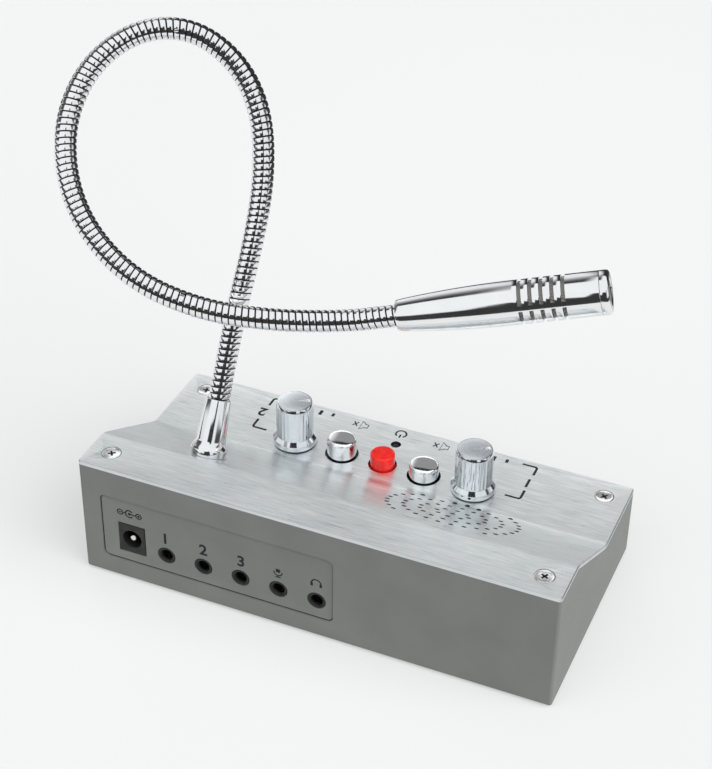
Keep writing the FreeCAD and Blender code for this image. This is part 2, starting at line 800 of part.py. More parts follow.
def makeJack(number):
    face = d.panelSink - halfDepth
    x, z = jackX(number), d.jackAxisHeight
    wallInside = innerSocketWall + d.jackSnoutGap
    tag = "jack%d" % number
    case = block(tag + "Case", d.jackBodyWidth, d.jackBodyDepth, d.jackBodyHeight,
                 x, wallInside + d.jackBodyDepth / 2, boardTop)
    snout = cylinder(tag + "Snout", d.jackSnoutRadius, wallInside - face + 1, x, wallInside + 1, z, towardSockets)
    bore = cylinder(tag + "Bore", d.jackBore, d.jackBoreDepth, x, face + d.jackBoreDepth, z, towardSockets)
    finish(cut(tag + "Shape", fuse(tag + "Outside", [case, snout]), [bore]), "audio_jack_%d" % (number + 1))


# ---- amplifier, heat sink and capacitors on the main board ----

def makeComponents():
    chipX, chipY = mainBoardX + d.chipAcross, mainBoardY + d.chipBack
    finish(block("chip", d.chipWidth, d.chipThickness, d.chipHeight, chipX, chipY, boardTop), "amplifier_chip")
    plateY = chipY + (d.chipThickness + d.sinkPlate) / 2
    parts = [block("sinkPlate", d.sinkWidth, d.sinkPlate, d.sinkHeight, chipX, plateY, boardTop)]
    finY = plateY + (d.sinkPlate + d.sinkFinDepth) / 2
    for number in range(6):
        x = chipX + (d.sinkWidth - d.sinkFin) * (number / 5 - 0.5)
        parts.append(block("sinkFin%d" % number, d.sinkFin, d.sinkFinDepth, d.sinkHeight, x, finY, boardTop))
    finish(fuse("sink", parts), "heat_sink")
    cans = []
    for number in range(3):
        x = chipX - d.sinkWidth / 2 - d.canGap - d.canRadius - (d.canRadius * 2 + d.canGap) * number
        cans.append(cylinder("can%d" % number, d.canRadius, d.canHeight, x, finY - d.canGap, boardTop))
    finish(group("cans", cans), "capacitors")


# ---- push buttons: cap, plunger and switch, all on one axis ----

def capProfile(radius, rise, crown):
    """Half outline of a cap with its flange and the blind hole for the plunger."""
    flange = radius + d.capGap + d.capFlange
    ceiling = capFlangeBottom + d.plungerSocketDepth
    top = d.lowDeckHeight + rise
    return [(0, ceiling), (d.plungerRadius, ceiling), (d.plungerRadius, capFlangeBottom),
            (flange, capFlangeBottom), (flange, capFlangeTop), (radius, capFlangeTop)] + crown(radius, top)


def domed(radius, top):
    """A rounded edge in straight steps, then a dome that is almost flat."""
    edge, middle = d.muteCapEdge, radius - d.muteCapEdge
    rounded = [(middle + edge * cosine(turn), top - edge + edge * sine(turn)) for turn in map(size, (0, 25, 50, 75))]
    return rounded + [(middle, top), (middle / 2, top + d.muteCapDome * 0.75), (0, top + d.muteCapDome)]


def flatTop(radius, top):
    return [(radius, top - d.powerCapEdge), (radius - d.powerCapEdge, top), (size(0), top)]


def makeButton(name, capLabel, x, radius, rise, crown, pressed):
    cap = newBody(capLabel)
    spin(cap, capProfile(radius, rise, crown), name + "Cap")
    finish(moveTo(cap, x, controlRow, -pressed), capLabel)
    length = capFlangeBottom + d.plungerSocketDepth - plungerBottom
    plunger = cylinder(name + "Plunger", d.plungerRadius, length, x, controlRow, plungerBottom - pressed)
    finish(plunger, "switch_plunger_" + name)
    case = block(name + "Case", d.switchSize, d.switchSize, d.switchHeight, x, controlRow, d.controlBoardTop)
    bore = cylinder(name + "CaseBore", d.plungerRadius + d.runningGap, d.switchHeight, x, controlRow,
                    d.controlBoardTop + d.switchFloor)
    finish(cut(name + "CaseShape", case, [bore]), "switch_body_" + name)


def makeButtons():
    # the right mute key is latched in
    for name, side in sides:
        makeButton(name, "mute_button_" + name, d.buttonPitch * side, d.muteCapRadius, d.muteCapRise, domed,
                   d.capTravel if name == "right" else size(0))
    makeButton("power", "power_button", size(0), d.powerCapRadius, d.powerCapRise, flatTop, size(0))


# ---- knobs on their potentiometers ----

def makeKnob(name, x):
    label = "knob_" + name
    body = newBody(label)
    height, rim, flare = d.knobHeight, d.knobSkirtRim, d.knobSkirtFlare
    spin(body, [(0, 0), (d.knobSkirtRadius, 0), (d.knobSkirtRadius, rim), (d.knobRadius, rim + flare),
                (d.knobRadius, height - d.knobBevel), (d.knobTopRadius, height), (0, height)], label)
    flute = newSketch(body, label + "Flute", offset=height - d.knobBevel)
    circle(flute, d.knobRadius + d.knobFluteDepth, 0, d.knobFluteDepth * 2)
    ringOf(body, pocket(body, flute, height - d.knobBevel - rim - flare), d.knobFlutes)
    bore = newSketch(body, label + "Bore")
    circle(bore, 0, 0, d.potShaftRadius)
    pocket(body, bore, d.knobBoreDepth, reverse=True)
    under = newSketch(body, label + "Undercut")
    circle(under, 0, 0, d.potShaftRadius + d.knobUndercut)
    pocket(body, under, d.knobUndercut, reverse=True)
    dot = newSketch(body, label + "Pointer", offset=height)
    angle = d.knobPointerAngle
    circle(dot, d.knobPointerRadius * cosine(angle), d.knobPointerRadius * sine(angle), d.knobPointerDot)
    pocket(body, dot, d.knobPointerDepth)
    finish(moveTo(body, x, controlRow, knobBottom), label)


def makePot(name, x):
    y, base = controlRow, d.controlBoardTop
    case = block(name + "PotCase", d.potSize, d.potSize, d.potHeight, x, y, base)
    bore = cylinder(name + "PotBore", d.potShaftRadius + d.runningGap, d.potHeight, x, y, base + 1)
    finish(cut(name + "PotShape", case, [bore]), "pot_body_" + name)
    bottom = base + 1 + d.runningGap
    shaft = cylinder(name + "PotShaft", d.potShaftRadius, knobBottom + d.knobBoreDepth - bottom, x, y, bottom)
    finish(shaft, "pot_shaft_" + name)


def makeLed():
    body = newBody("led")
    top = d.lowDeckHeight - d.ledSink
    r = d.ledRadius
    spin(body, [(0, d.controlBoardTop), (r + 0.4, d.controlBoardTop), (r + 0.4, d.controlBoardTop + 1),
                (r, d.controlBoardTop + 1), (r, top - r * 0.8), (r * 0.7, top - r * 0.2), (0, top)], "led")
    finish(moveTo(body, 0, ledRow, 0), "led")


# ---- speaker: cloth, gasket, basket, cone and magnet, stacked square to the slope ----

speakerPlace = Placement(Vector(d.speakerCentre.value, speakerRow.value, speakerZ.value), slopeTurn)
clothBottom = -(d.plateThickness + d.clothThickness).value
flangeTop = clothBottom - d.gasketThickness.value
flangeBottom = flangeTop - d.basketFlange.value
basketFloor = flangeBottom - d.basketDepth.value


def racetrack(length, width, z):
    """Closed wire with two straight sides and two round ends, about the origin."""
    r, a = width / 2, (length - width) / 2
    corners = [Vector(-a, -r, z), Vector(a, -r, z), Vector(a, r, z), Vector(-a, r, z)]
    edges = [Part.LineSegment(corners[0], corners[1]).toShape(),
             Part.Arc(corners[1], Vector(a + r, 0, z), corners[2]).toShape(),
             Part.LineSegment(corners[2], corners[3]).toShape(),
             Part.Arc(corners[3], Vector(-a - r, 0, z), corners[0]).toShape()]
    return Part.Wire(edges)


def racetrackSlab(length, width, z, height):
    return Part.Face(racetrack(length, width, z)).extrude(Vector(0, 0, height))


def speakerFunnel(length, width, top, depth, taper):
    """Solid that narrows downward from a racetrack to a smaller one."""
    wires = [racetrack(length, width, top), racetrack(length - 2 * taper, width - 2 * taper, top - depth)]
    return Part.makeLoft(wires, True, True)


def makeSpeaker():
    length, width, edge = d.speakerLength.value, d.speakerWidth.value, d.gasketWidth.value
    depth, wall, taper = d.basketDepth.value, d.basketWall.value, d.basketTaper.value
    openLength, openWidth = length - 2 * edge, width - 2 * edge
    solidFeature("grille_cloth", racetrackSlab(length, width, clothBottom, d.clothThickness.value), speakerPlace)
    gasket = racetrackSlab(length, width, flangeTop, d.gasketThickness.value)
    window = racetrackSlab(openLength, openWidth, flangeTop, d.gasketThickness.value)
    solidFeature("speaker_gasket", gasket.cut(window), speakerPlace)
    flange = racetrackSlab(length, width, flangeBottom, d.basketFlange.value)
    outside = flange.fuse(speakerFunnel(openLength, openWidth, flangeBottom, depth, taper))
    openLength, openWidth = openLength - 2 * wall, openWidth - 2 * wall
    inside = speakerFunnel(openLength, openWidth, flangeBottom, depth - wall, taper - wall / 2)
    mouth = racetrackSlab(openLength, openWidth, flangeBottom, d.basketFlange.value)
    solidFeature("speaker_basket", outside.cut(inside.fuse(mouth)).removeSplitter(), speakerPlace)
    magnetBottom = Vector(0, 0, basketFloor - d.magnetHeight.value)
    magnet = Part.makeCylinder(d.magnetRadius.value, d.magnetHeight.value, magnetBottom)
    solidFeature("speaker_magnet", magnet, speakerPlace)
    # the cone hangs on its rim at the gasket, and its hub stands on the basket's floor
    thin, hubBottom = d.coneWall.value, basketFloor + wall
    coneBottom = hubBottom + 2 * thin
    openLength, openWidth = openLength - 2 * thin, openWidth - 2 * thin
    outer = speakerFunnel(openLength, openWidth, flangeTop, flangeTop - coneBottom, taper)
    inner = speakerFunnel(openLength - 2 * thin, openWidth - 2 * thin, flangeTop, flangeTop - coneBottom - thin, taper)
    hub = Part.makeCylinder(d.coneHubRadius.value, coneBottom + thin - hubBottom, Vector(0, 0, hubBottom))
    solidFeature("speaker_cone", outer.cut(inner).fuse(hub).removeSplitter(), speakerPlace)


# ---- gooseneck: sleeve, washer and nut on the slope, then the bent tube in lengths ----

def makeSleeve():
    body = newBody("neck_sleeve")
    top, foot, flare = d.sleeveHeight, d.sleeveFootHeight, d.sleeveFlare
    bore = d.neckRadius + d.sleeveFit
    spread = d.sleeveFootRadius - d.sleeveWaistRadius
    curve = [(d.sleeveWaistRadius + spread * share * share, foot + flare * (1 - share)) for share in (0, 0.4, 0.7, 1)]
    spin(body, [(bore, d.neckFootStart), (bore, top), (d.sleeveTopRadius, top),
                *curve, (d.sleeveFootRadius, 0), (d.stemRadius, 0),
                (d.stemRadius, -d.stemLength), (d.neckBore, -d.stemLength), (d.neckBore, d.neckFootStart)],
         "sleeve")
    finish(moveTo(body, neckX, neckY, neckBaseZ, slopeTurn), "neck_sleeve")
    washer = newBody("neck_washer")
    under = -d.plateThickness - d.washerThickness
    fit = d.stemRadius + d.sleeveFit
    spin(washer, [(fit, under), (d.washerRadius, under), (d.washerRadius, -d.plateThickness),
                  (fit, -d.plateThickness)], "washer")
    finish(moveTo(washer, neckX, neckY, neckBaseZ, slopeTurn), "neck_washer")
    nut = newBody("neck_nut")
    outline = newSketch(nut, "nutOutline", offset=under - d.nutHeight)
    corner = d.nutAcross / 2 / cosine(size(30))
    polygon(outline, [(corner * cosine(size(60 * k)), corner * sine(size(60 * k))) for k in range(6)])
    circle(outline, 0, 0, fit)
    pad(nut, outline, d.nutHeight)
    finish(moveTo(nut, neckX, neckY, neckBaseZ, slopeTurn), "neck_nut")


neckBase = Vector(neckX.value, neckY.value, neckBaseZ.value)
neckAxis = slopeTurn.multVec(Vector(0, 0, 1))
micBack = neckBase + Vector(d.micRight.value, d.micNear.value, d.micUp.value)
micAxis = Vector(0.937, 0.268, 0.222).normalize()


def cornersAt(*places):
    """Corners of the neck's route, given from its base."""
    return [neckBase + Vector(*place) for place in places]


# the neck goes up from the sleeve, over a crown and down round the loop to the head, in three lengths
neckStart = neckBase + neckAxis * d.neckFootStart.value
neckEnd = micBack + micAxis * d.micTailLength.value
stemCorners = [neckBase + neckAxis * (2 * d.neckFirstBend - d.neckFootStart).value]
stemCorners += cornersAt((1, 33, 59), (0, 43.5, 76), (-4.5, 52, 93))
crownCorners = cornersAt((-14.5, 56.5, 106), (-29, 55.5, 114.5), (-43.5, 48, 114.5), (-54, 36, 106),
                         (-56.5, 23.5, 93), (-51.5, 13.5, 78.5))
runCorners = cornersAt((-41, 7, 65.5), (-24.5, 4.5, 54.5), (-4.5, 7, 48.5), (15.5, 12, 47))
runCorners.append(micBack - micAxis * d.micRunUp.value)
# each bend lies on the straight run between two corners: the first and last at a distance along it, the
# two on the loop in the middle of theirs
neckBends = {"base": (neckStart, stemCorners[0], (d.neckFirstBend - d.neckFootStart).value),
             "crown": (stemCorners[-1], crownCorners[0], None),
             "fall": (crownCorners[-1], runCorners[0], None),
             "mic": (runCorners[-1], neckEnd, (d.micRunUp - d.micBendBack).value)}


def bendPoint(name, shift=0.0):
    """Point on the route at a bend, or a little past it."""
    a, b, distance = neckBends[name]
    if distance is None:
        distance = (b - a).Length / 2
    return a + (b - a).normalize() * (distance + shift)


def cornerArc(before, corner, after):
    """Start, middle and end of the arc that rounds a corner."""
    reach = 0.45 * min((corner - before).Length, (after - corner).Length)
    back, ahead = (before - corner).normalize(), (after - corner).normalize()
    half = back.getAngle(ahead) / 2
    radius = reach * math.tan(half)
    middle = corner + (back + ahead).normalize() * (radius / math.sin(half) - radius)
    return corner + back * reach, middle, corner + ahead * reach


def roundedPath(start, corners, end):
    """Straight runs joined by tangent arcs. Each corner comes with the points before and after it."""
    edges, here = [], start
    for corner in corners:
        arc = cornerArc(*corner)
        edges += [Part.LineSegment(here, arc[0]).toShape(), Part.Arc(*arc).toShape()]
        here = arc[2]
    edges.append(Part.LineSegment(here, end).toShape())
    return Part.Wire(edges)


def sweepDisc(path, radius):
    """Solid tube of the given radius along a wire."""
    first = path.OrderedEdges[0]
    start = first.valueAt(first.FirstParameter)
    along = first.tangentAt(first.FirstParameter)
    ring = Part.Wire([Part.Circle(start, along, radius).toShape()])
    tube = path.makePipeShell([ring], True, False)
    return tube if tube.Volume > 0 else tube.reversed()


def breakEnds(shape, ends, radius, amount):
    """Chamfer the outer rim at each end of a tube."""
    rims = []
    for edge in shape.Edges:
        if edge.Curve.TypeId == "Part::GeomCircle" and near(edge.Curve.Radius, radius) and edge.Closed:
            if any((edge.Curve.Center - end).Length < 1e-3 for end in ends):
                rims.append(edge)
    return shape.makeChamfer(amount, rims)


def makeNeckLength(label, start, end, corners, ends):
    path = roundedPath(start, corners, end)
    outside, inside = sweepDisc(path, d.neckRadius.value), sweepDisc(path, d.neckBore.value)
    tube = breakEnds(outside.cut(inside), ends, d.neckRadius.value, d.neckEndBreak.value)
    solidFeature(label, tube)


def leadWithBall(start, corners, end):
    """A lead whose last point is the middle of the ball on its end."""
    path = roundedPath(start, corners, end)
    last = path.OrderedEdges[-1]
    ball = Part.makeSphere(d.neckBallRadius.value, end, last.tangentAt(last.LastParameter))
    return sweepDisc(path, d.neckLeadRadius.value).fuse(ball)


leadStart = d.neckBallRadius + d.neckBallGap


def makeNeck():
    half = d.neckGap.value / 2
    end = bendPoint("base", -half)
    makeNeckLength("neck_foot", neckStart, end, [], [end])
    for label, a, b, places in (("stem", "base", "crown", stemCorners), ("crown", "crown", "fall", crownCorners),
                                ("run", "fall", "mic", runCorners)):
        start, end = bendPoint(a, half), bendPoint(b, -half)
        places = [neckBends[a][0], *places, neckBends[b][1]]
        corners = list(zip(places, places[1:], places[2:]))
        makeNeckLength("neck_" + label, start, end, corners, [start, end])
        solidFeature("neck_lead_" + label, leadWithBall(bendPoint(a, leadStart.value), corners, bendPoint(b)))
    start = bendPoint("mic", half)
    makeNeckLength("neck_tail", start, neckEnd, [], [start])


# ---- leads inside the housing: to the microphone, to the speaker and between the boards ----

def makeLeads():
    top, middle = boardTop.value, mainBoardY.value
    landing = Vector(neckX.value + 4, middle + 2, top)
    points = [landing, landing + Vector(0, 0, 9), neckBase - neckAxis * (d.stemLength.value + 3), bendPoint("base")]
    micLead = doc.addObject("Part::Feature", "micLead")
    micLead.Shape = leadWithBall(landing, list(zip(points, points[1:], points[2:])), points[-1])
    socket = speakerPlace.multVec(Vector(-d.magnetRadius.value, 0, basketFloor - d.magnetHeight.value / 2))
    landing = Vector((mainBoardX + d.mainBoardWidth / 2).value - 8, middle + 4, top)
    points = [socket, Vector(landing.x + 3, socket.y, socket.z), landing + Vector(0, 0, 5), landing]
    speakerLead = doc.addObject("Part::Feature", "speakerLead")
    path = roundedPath(socket, list(zip(points, points[1:], points[2:])), landing)
    speakerLead.Shape = sweepDisc(path, d.leadRadius.value)
    # a ribbon stands on the main board and ends flat under the control board
    ribbon = newBody("ribbon")
    side = newSketch(ribbon, "ribbonSide", "YZ_Plane", offset=mainBoardX)
    near, far = mainBoardY + d.mainBoardDepth / 2 - 2, controlBoardFront + d.ribbonLap
    high, thick = d.controlBoardTop - d.boardThickness, d.ribbonThickness
    polygon(side, [(near, boardTop), (near + thick, boardTop), (near + thick, high - thick), (far, high - thick),
                   (far, high), (near, high)])
    pad(ribbon, side, d.ribbonWidth, midplane=True)
    finish(group("leads", [micLead, speakerLead, ribbon]), "inner_leads")


# ---- microphone head, along its own Z axis from the back face ----

micTurn = Rotation(Vector(0, 0, 1), d.slotTurn.value)
micPlace = Placement(micBack, Rotation(Vector(0, 0, 1), micAxis).multiply(micTurn))


def placeMic(body, label):
    body.Placement = micPlace
    return finish(body, label)


def makeMicBody():
    body = newBody("mic_body")
    tail = d.neckRadius + d.micTailFit
    length = d.micLength - d.ringLength
    rise, run = d.micRadius - d.micShoulderRadius, d.micTaper - d.micShoulder
    # the outside swells to full width, steeply at first and level at the end
    swell = [(d.micRadius - rise * share * share, d.micTaper - run * share) for share in (1, 0.8, 0.6, 0.4, 0.2, 0)]
    spin(body, [(tail, 0), (d.micBackRadius, 0)] + swell + [
        (d.micRadius, length), (d.micBore, length), (d.micBore, d.micBoreBack),
        (tail, d.micTailLength + d.micShoulder * 2)], "mic")
    # one slot sector, three round the ring, five rings along the body
    reach = d.micRadius + 1
    spread = (120 - d.slotLand) / 2
    outline = newSketch(body, "slotSector", offset=d.slotFirst - d.slotWidth / 2)
    wide = reach / cosine(spread / 2)
    polygon(outline, [(size(0), size(0)), (reach * cosine(spread), -reach * sine(spread)),
                      (wide * cosine(spread / 2), -wide * sine(spread / 2)), (reach, size(0)),
                      (wide * cosine(spread / 2), wide * sine(spread / 2)),
                      (reach * cosine(spread), reach * sine(spread))])
    slot = pocket(body, outline, d.slotWidth, reverse=True)
    row = body.newObject("PartDesign::MultiTransform", "slotRows")
    row.Originals = [slot]
    body.Tip = row
    around = body.newObject("PartDesign::PolarPattern", "slotsAround")
    around.Axis = (outline, ["N_Axis"])
    around.Angle = 360
    around.Occurrences = 3
    along = body.newObject("PartDesign::LinearPattern", "slotsAlong")
    along.Direction = (outline, ["N_Axis"])
    bind(along, "Length", d.slotPitch * 4)
    along.Occurrences = 5
    row.Transformations = [around, along]
    body.Tip = row
    placeMic(body, "mic_body")


def makeMicParts():
    front = d.micLength - d.ringLength
    inside = d.micBore - d.micTailFit
    ring = newBody("mic_end_ring")
    edge = d.ringEdge
    spin(ring, [(d.ringBore, front - d.ringSpigot), (inside, front - d.ringSpigot), (inside, front),
                (d.micRadius, front), (d.micRadius, d.micLength - edge),
                (d.micRadius - edge * 0.3, d.micLength - edge * 0.3), (d.micRadius - edge, d.micLength),
                (d.ringBore, d.micLength)], "ring")
    placeMic(ring, "mic_end_ring")
    mesh = newBody("mic_mesh")
    start, end = d.slotFirst - d.meshReach, d.slotFirst + d.slotPitch * 4 + d.meshReach
    spin(mesh, [(inside - d.meshThickness, start), (inside, start), (inside, end),
                (inside - d.meshThickness, end)], "mesh")
    placeMic(mesh, "mic_mesh")
    seat = front - d.ringSpigot - d.holderLength
    holder = newBody("mic_holder")
    back = seat + d.holderFloor
    spin(holder, [(d.capsuleRadius, back), (d.capsuleRadius, seat + d.holderLength), (inside, seat + d.holderLength),
                  (inside, seat), (d.neckLeadRadius, seat), (d.neckLeadRadius, back)], "holder")
    placeMic(holder, "mic_holder")
    capsule = newBody("mic_capsule")
    leadEnd = leadStart - d.micBendBack
    spin(capsule, [(0, leadEnd), (d.neckLeadRadius, leadEnd), (d.neckLeadRadius, back), (d.capsuleRadius, back),
                   (d.capsuleRadius, back + d.capsuleLength), (0, back + d.capsuleLength)], "capsule")
    placeMic(capsule, "mic_capsule")


# ---- build, check and write ----

makeShell()
makePlate()
makePlateScrews()
makeCover()
makeCoverScrews()
makeFeet()
makeBoards()
makeInlet()
for jackNumber in range(5):
    makeJack(jackNumber)
makeComponents()
makeButtons()
for knobName, knobSide in sides:
    makePot(knobName, d.knobSpacing * knobSide)
    makeKnob(knobName, d.knobSpacing * knobSide)
makeLed()
makeSpeaker()
makeSleeve()
makeNeck()
makeLeads()
makeMicBody()
makeMicParts()

doc.recompute()
for thing in doc.Objects:
    if "Invalid" in thing.State or "Error" in thing.State:
        raise RuntimeError("%s (%s) is %s" % (thing.Name, thing.Label, thing.State))
for subpart in subparts:
    shape = subpart.Shape
    if shape.isNull() or not shape.isValid() or not shape.Solids or shape.Volume <= 0:
        raise RuntimeError("no valid solid in " + subpart.Label)

os.makedirs("parts", exist_ok=True)
for subpart in subparts:
    subpart.Shape.exportStep("parts/%s.step" % subpart.Label)
    print("%-24s solids %2d  volume %9.1f" % (subpart.Label, len(subpart.Shape.Solids), subpart.Shape.Volume))
print(len(subparts), "sub-parts")
for bend in neckBends:
    print("neck bends at", bend, "%.4f %.4f %.4f" % tuple(bendPoint(bend)))
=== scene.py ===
import json
import math

import bmesh
import bpy
from mathutils import Matrix, Vector


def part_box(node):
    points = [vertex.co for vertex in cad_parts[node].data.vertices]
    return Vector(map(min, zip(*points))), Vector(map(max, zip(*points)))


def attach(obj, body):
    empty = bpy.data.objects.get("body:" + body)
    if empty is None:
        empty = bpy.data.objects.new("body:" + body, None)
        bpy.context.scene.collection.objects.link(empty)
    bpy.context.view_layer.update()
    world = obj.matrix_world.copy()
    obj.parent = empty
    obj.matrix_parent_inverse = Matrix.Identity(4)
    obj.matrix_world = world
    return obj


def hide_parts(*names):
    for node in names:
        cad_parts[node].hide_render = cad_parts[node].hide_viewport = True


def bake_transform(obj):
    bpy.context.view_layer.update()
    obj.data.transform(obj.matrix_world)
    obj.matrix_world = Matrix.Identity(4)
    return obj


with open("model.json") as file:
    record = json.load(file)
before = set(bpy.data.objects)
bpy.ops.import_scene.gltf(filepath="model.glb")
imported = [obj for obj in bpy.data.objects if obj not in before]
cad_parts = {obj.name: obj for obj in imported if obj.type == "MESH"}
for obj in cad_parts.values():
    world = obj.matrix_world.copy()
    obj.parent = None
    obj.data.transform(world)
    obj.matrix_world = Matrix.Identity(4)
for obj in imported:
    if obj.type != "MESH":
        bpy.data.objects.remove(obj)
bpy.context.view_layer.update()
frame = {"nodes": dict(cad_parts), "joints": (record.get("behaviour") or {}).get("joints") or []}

# A desk intercom with a gooseneck microphone. Lengths are in millimetres and become metres as they are used.
# X runs along the housing, the sockets face -Y, the operator sits at +Y.

mm = 0.001
scene = bpy.context.scene
nodes = frame["nodes"]


# camera

camera = {"place": (172.8, -417.6, 391.7), "turnLeft": 22.72, "lookDown": 35.56, "roll": -0.83, "lens": 86.76}


def makeCamera():
    turn, tilt, roll = (math.radians(camera[key]) for key in ("turnLeft", "lookDown", "roll"))
    ahead = Vector((-math.sin(turn) * math.cos(tilt), math.cos(turn) * math.cos(tilt), -math.sin(tilt)))
    level = Vector((math.cos(turn), math.sin(turn), 0))
    below = ahead.cross(level)
    right = level * math.cos(roll) + below * math.sin(roll)
    down = below * math.cos(roll) - level * math.sin(roll)
    data = bpy.data.cameras.new("camera")
    data.lens, data.sensor_width, data.sensor_fit = camera["lens"], 36, "AUTO"
    data.clip_start = 0.01
    obj = bpy.data.objects.new("camera", data)
    obj.matrix_world = Matrix.Translation(Vector(camera["place"]) * mm) @ Matrix(
        (right, -down, -ahead)).transposed().to_4x4()
    scene.collection.objects.link(obj)
    scene.camera = obj


makeCamera()
print("camera set")


# nodes of a material

def newMaterial(name, values):
    made = bpy.data.materials.new(name)
    made.use_nodes = True
    shader = made.node_tree.nodes["Principled BSDF"]
    for socket, value in values.items():
        shader.inputs[socket].default_value = value
    return made


def addNode(made, kind, inputs=None, **settings):
    tree = made.node_tree
    node = tree.nodes.new("ShaderNode" + kind)
    for key, value in settings.items():
        setattr(node, key, value)
    for key, value in (inputs or {}).items():
        if isinstance(value, bpy.types.NodeSocket):
            tree.links.new(value, node.inputs[key])
        else:
            node.inputs[key].default_value = value
    return node


def plug(made, source, socket):
    made.node_tree.links.new(source, made.node_tree.nodes["Principled BSDF"].inputs[socket])


def grain(made, size, stretch=(1, 1, 1), detail=2.0, roughness=0.5):
    # noise whose patches are about size across, longer along an axis by its stretch
    where = addNode(made, "TexCoord").outputs["Object"]
    scaled = addNode(made, "Mapping", {"Vector": where, "Scale": [1 / (size * mm * s) for s in stretch]})
    return addNode(made, "TexNoise", {"Vector": scaled.outputs["Vector"], "Scale": 1.0, "Detail": detail,
                                      "Roughness": roughness}).outputs[0]


def between(made, factor, low, high, start=0.3, end=0.7):
    return addNode(made, "MapRange", {"Value": factor, "From Min": start, "From Max": end,
                                      "To Min": low, "To Max": high}).outputs["Result"]


def mixed(made, factor, *ends):
    first, second = (end if isinstance(end, bpy.types.NodeSocket) else (*end, 1) for end in ends)
    return addNode(made, "Mix", {0: factor, 6: first, 7: second}, data_type="RGBA").outputs[2]


def relief(made, height, strength, depth):
    bump = addNode(made, "Bump", {"Height": height, "Strength": strength, "Distance": depth * mm})
    plug(made, bump.outputs["Normal"], "Normal")


def plainFinish(name, dark, light, gloss, size, values=None, stretch=(1, 1, 1), bumpDepth=0.02, strength=0.2):
    # a colour that wanders between two, a gloss that wanders with it, and a fine grain in the surface
    made = newMaterial(name, values or {})
    patches = between(made, grain(made, size * 12, stretch), 0, 1)
    plug(made, mixed(made, patches, dark, light), "Base Color")
    fine = grain(made, size, stretch, detail=3)
    plug(made, between(made, fine, *gloss), "Roughness")
    relief(made, fine, strength, bumpDepth)
    return made


# finishes

def housingPaint():
    made = newMaterial("housingPaint", {"Specular IOR Level": 0.38})
    speckle = grain(made, 0.3, detail=3)
    cloud = grain(made, 14)
    colour = mixed(made, between(made, cloud, 0, 1), (0.172, 0.178, 0.170), (0.192, 0.198, 0.190))
    plug(made, colour, "Base Color")
    plug(made, between(made, speckle, 0.46, 0.62), "Roughness")
    relief(made, speckle, 0.22, 0.03)
    return made


def brushedPlate():
    made = newMaterial("brushedPlate", {"Metallic": 1.0, "Anisotropic": 0.7})
    hairs = grain(made, 0.16, (34, 1, 1), detail=2)
    streaks = grain(made, 0.5, (22, 1, 1), detail=3, roughness=0.6)
    both = addNode(made, "Math", {0: hairs, 1: streaks}, operation="ADD").outputs[0]
    tone = between(made, both, 0, 1, 0.72, 1.28)
    plug(made, mixed(made, tone, (0.72, 0.77, 0.785), (0.98, 1.0, 1.0)), "Base Color")
    plug(made, between(made, streaks, 0.27, 0.42), "Roughness")
    tangent = addNode(made, "Tangent", direction_type="UV_MAP", uv_map="brush")
    plug(made, tangent.outputs[0], "Tangent")
    relief(made, hairs, 0.35, 0.014)
    return made


def polished(name, colour, gloss=(0.05, 0.11), dust=4.0):
    # plated metal, with smudges and hair scratches too fine to see one by one
    made = newMaterial(name, {"Metallic": 1.0})
    smudge = grain(made, dust, detail=4)
    plug(made, mixed(made, between(made, smudge, 0, 1), [c * 0.95 for c in colour], colour), "Base Color")
    plug(made, between(made, smudge, *gloss), "Roughness")
    relief(made, grain(made, 0.4, detail=3), 0.03, 0.01)
    return made


def spunSatin(name, centre):
    # fine rings turned into a face, about the axis through centre
    made = newMaterial(name, {"Metallic": 1.0})
    where = addNode(made, "TexCoord").outputs["Object"]
    middle = addNode(made, "VectorMath", {0: where, 1: Vector(centre) * mm}, operation="SUBTRACT").outputs[0]
    flat = addNode(made, "VectorMath", {0: middle, 1: (1, 1, 0)}, operation="MULTIPLY").outputs[0]
    reach = addNode(made, "VectorMath", {0: flat}, operation="LENGTH").outputs["Value"]
    rings = addNode(made, "TexNoise", {"W": reach, "Scale": 3500.0, "Detail": 2.0},
                    noise_dimensions="1D").outputs[0]
    plug(made, mixed(made, between(made, rings, 0, 1), (0.82, 0.87, 0.92), (0.92, 0.97, 1.0)), "Base Color")
    plug(made, between(made, rings, 0.26, 0.36), "Roughness")
    relief(made, rings, 0.10, 0.01)
    return made


def redLens():
    # subsurface light in the red cap, and a faint red emission that is painted glow, for the cap is no lamp
    made = newMaterial("redLens", {
        "Subsurface Weight": 0.35, "Subsurface Scale": 0.004, "Specular IOR Level": 0.35,
        "Subsurface Radius": (1.0, 0.15, 0.08), "Roughness": 0.16, "Coat Weight": 0.3, "Coat Roughness": 0.06,
        "Emission Color": (1.0, 0.03, 0.012, 1), "Emission Strength": 0.05})
    ribs = grain(made, 1.6, (1, 1, 30))
    colour = mixed(made, between(made, ribs, 0, 1), (0.60, 0.005, 0.004), (0.76, 0.016, 0.010))
    plug(made, colour, "Base Color")
    relief(made, grain(made, 0.8), 0.04, 0.02)
    return made


def wovenFinish(name, dark, light, pitch, gloss):
    # two crossed sets of threads
    made = newMaterial(name, {})
    where = addNode(made, "TexCoord").outputs["Object"]
    threads = []
    for axis in ("X", "Y"):
        wave = addNode(made, "TexWave", {"Vector": where, "Scale": 0.314 / (pitch * mm)},
                       wave_type="BANDS", bands_direction=axis)
        threads.append(wave.outputs["Fac"])
    height = addNode(made, "Math", {0: threads[0], 1: threads[1]}, operation="MAXIMUM").outputs[0]
    plug(made, mixed(made, height, dark, light), "Base Color")
    plug(made, between(made, height, *gloss, 0, 1), "Roughness")
    relief(made, height, 0.6, 0.08)
    return made


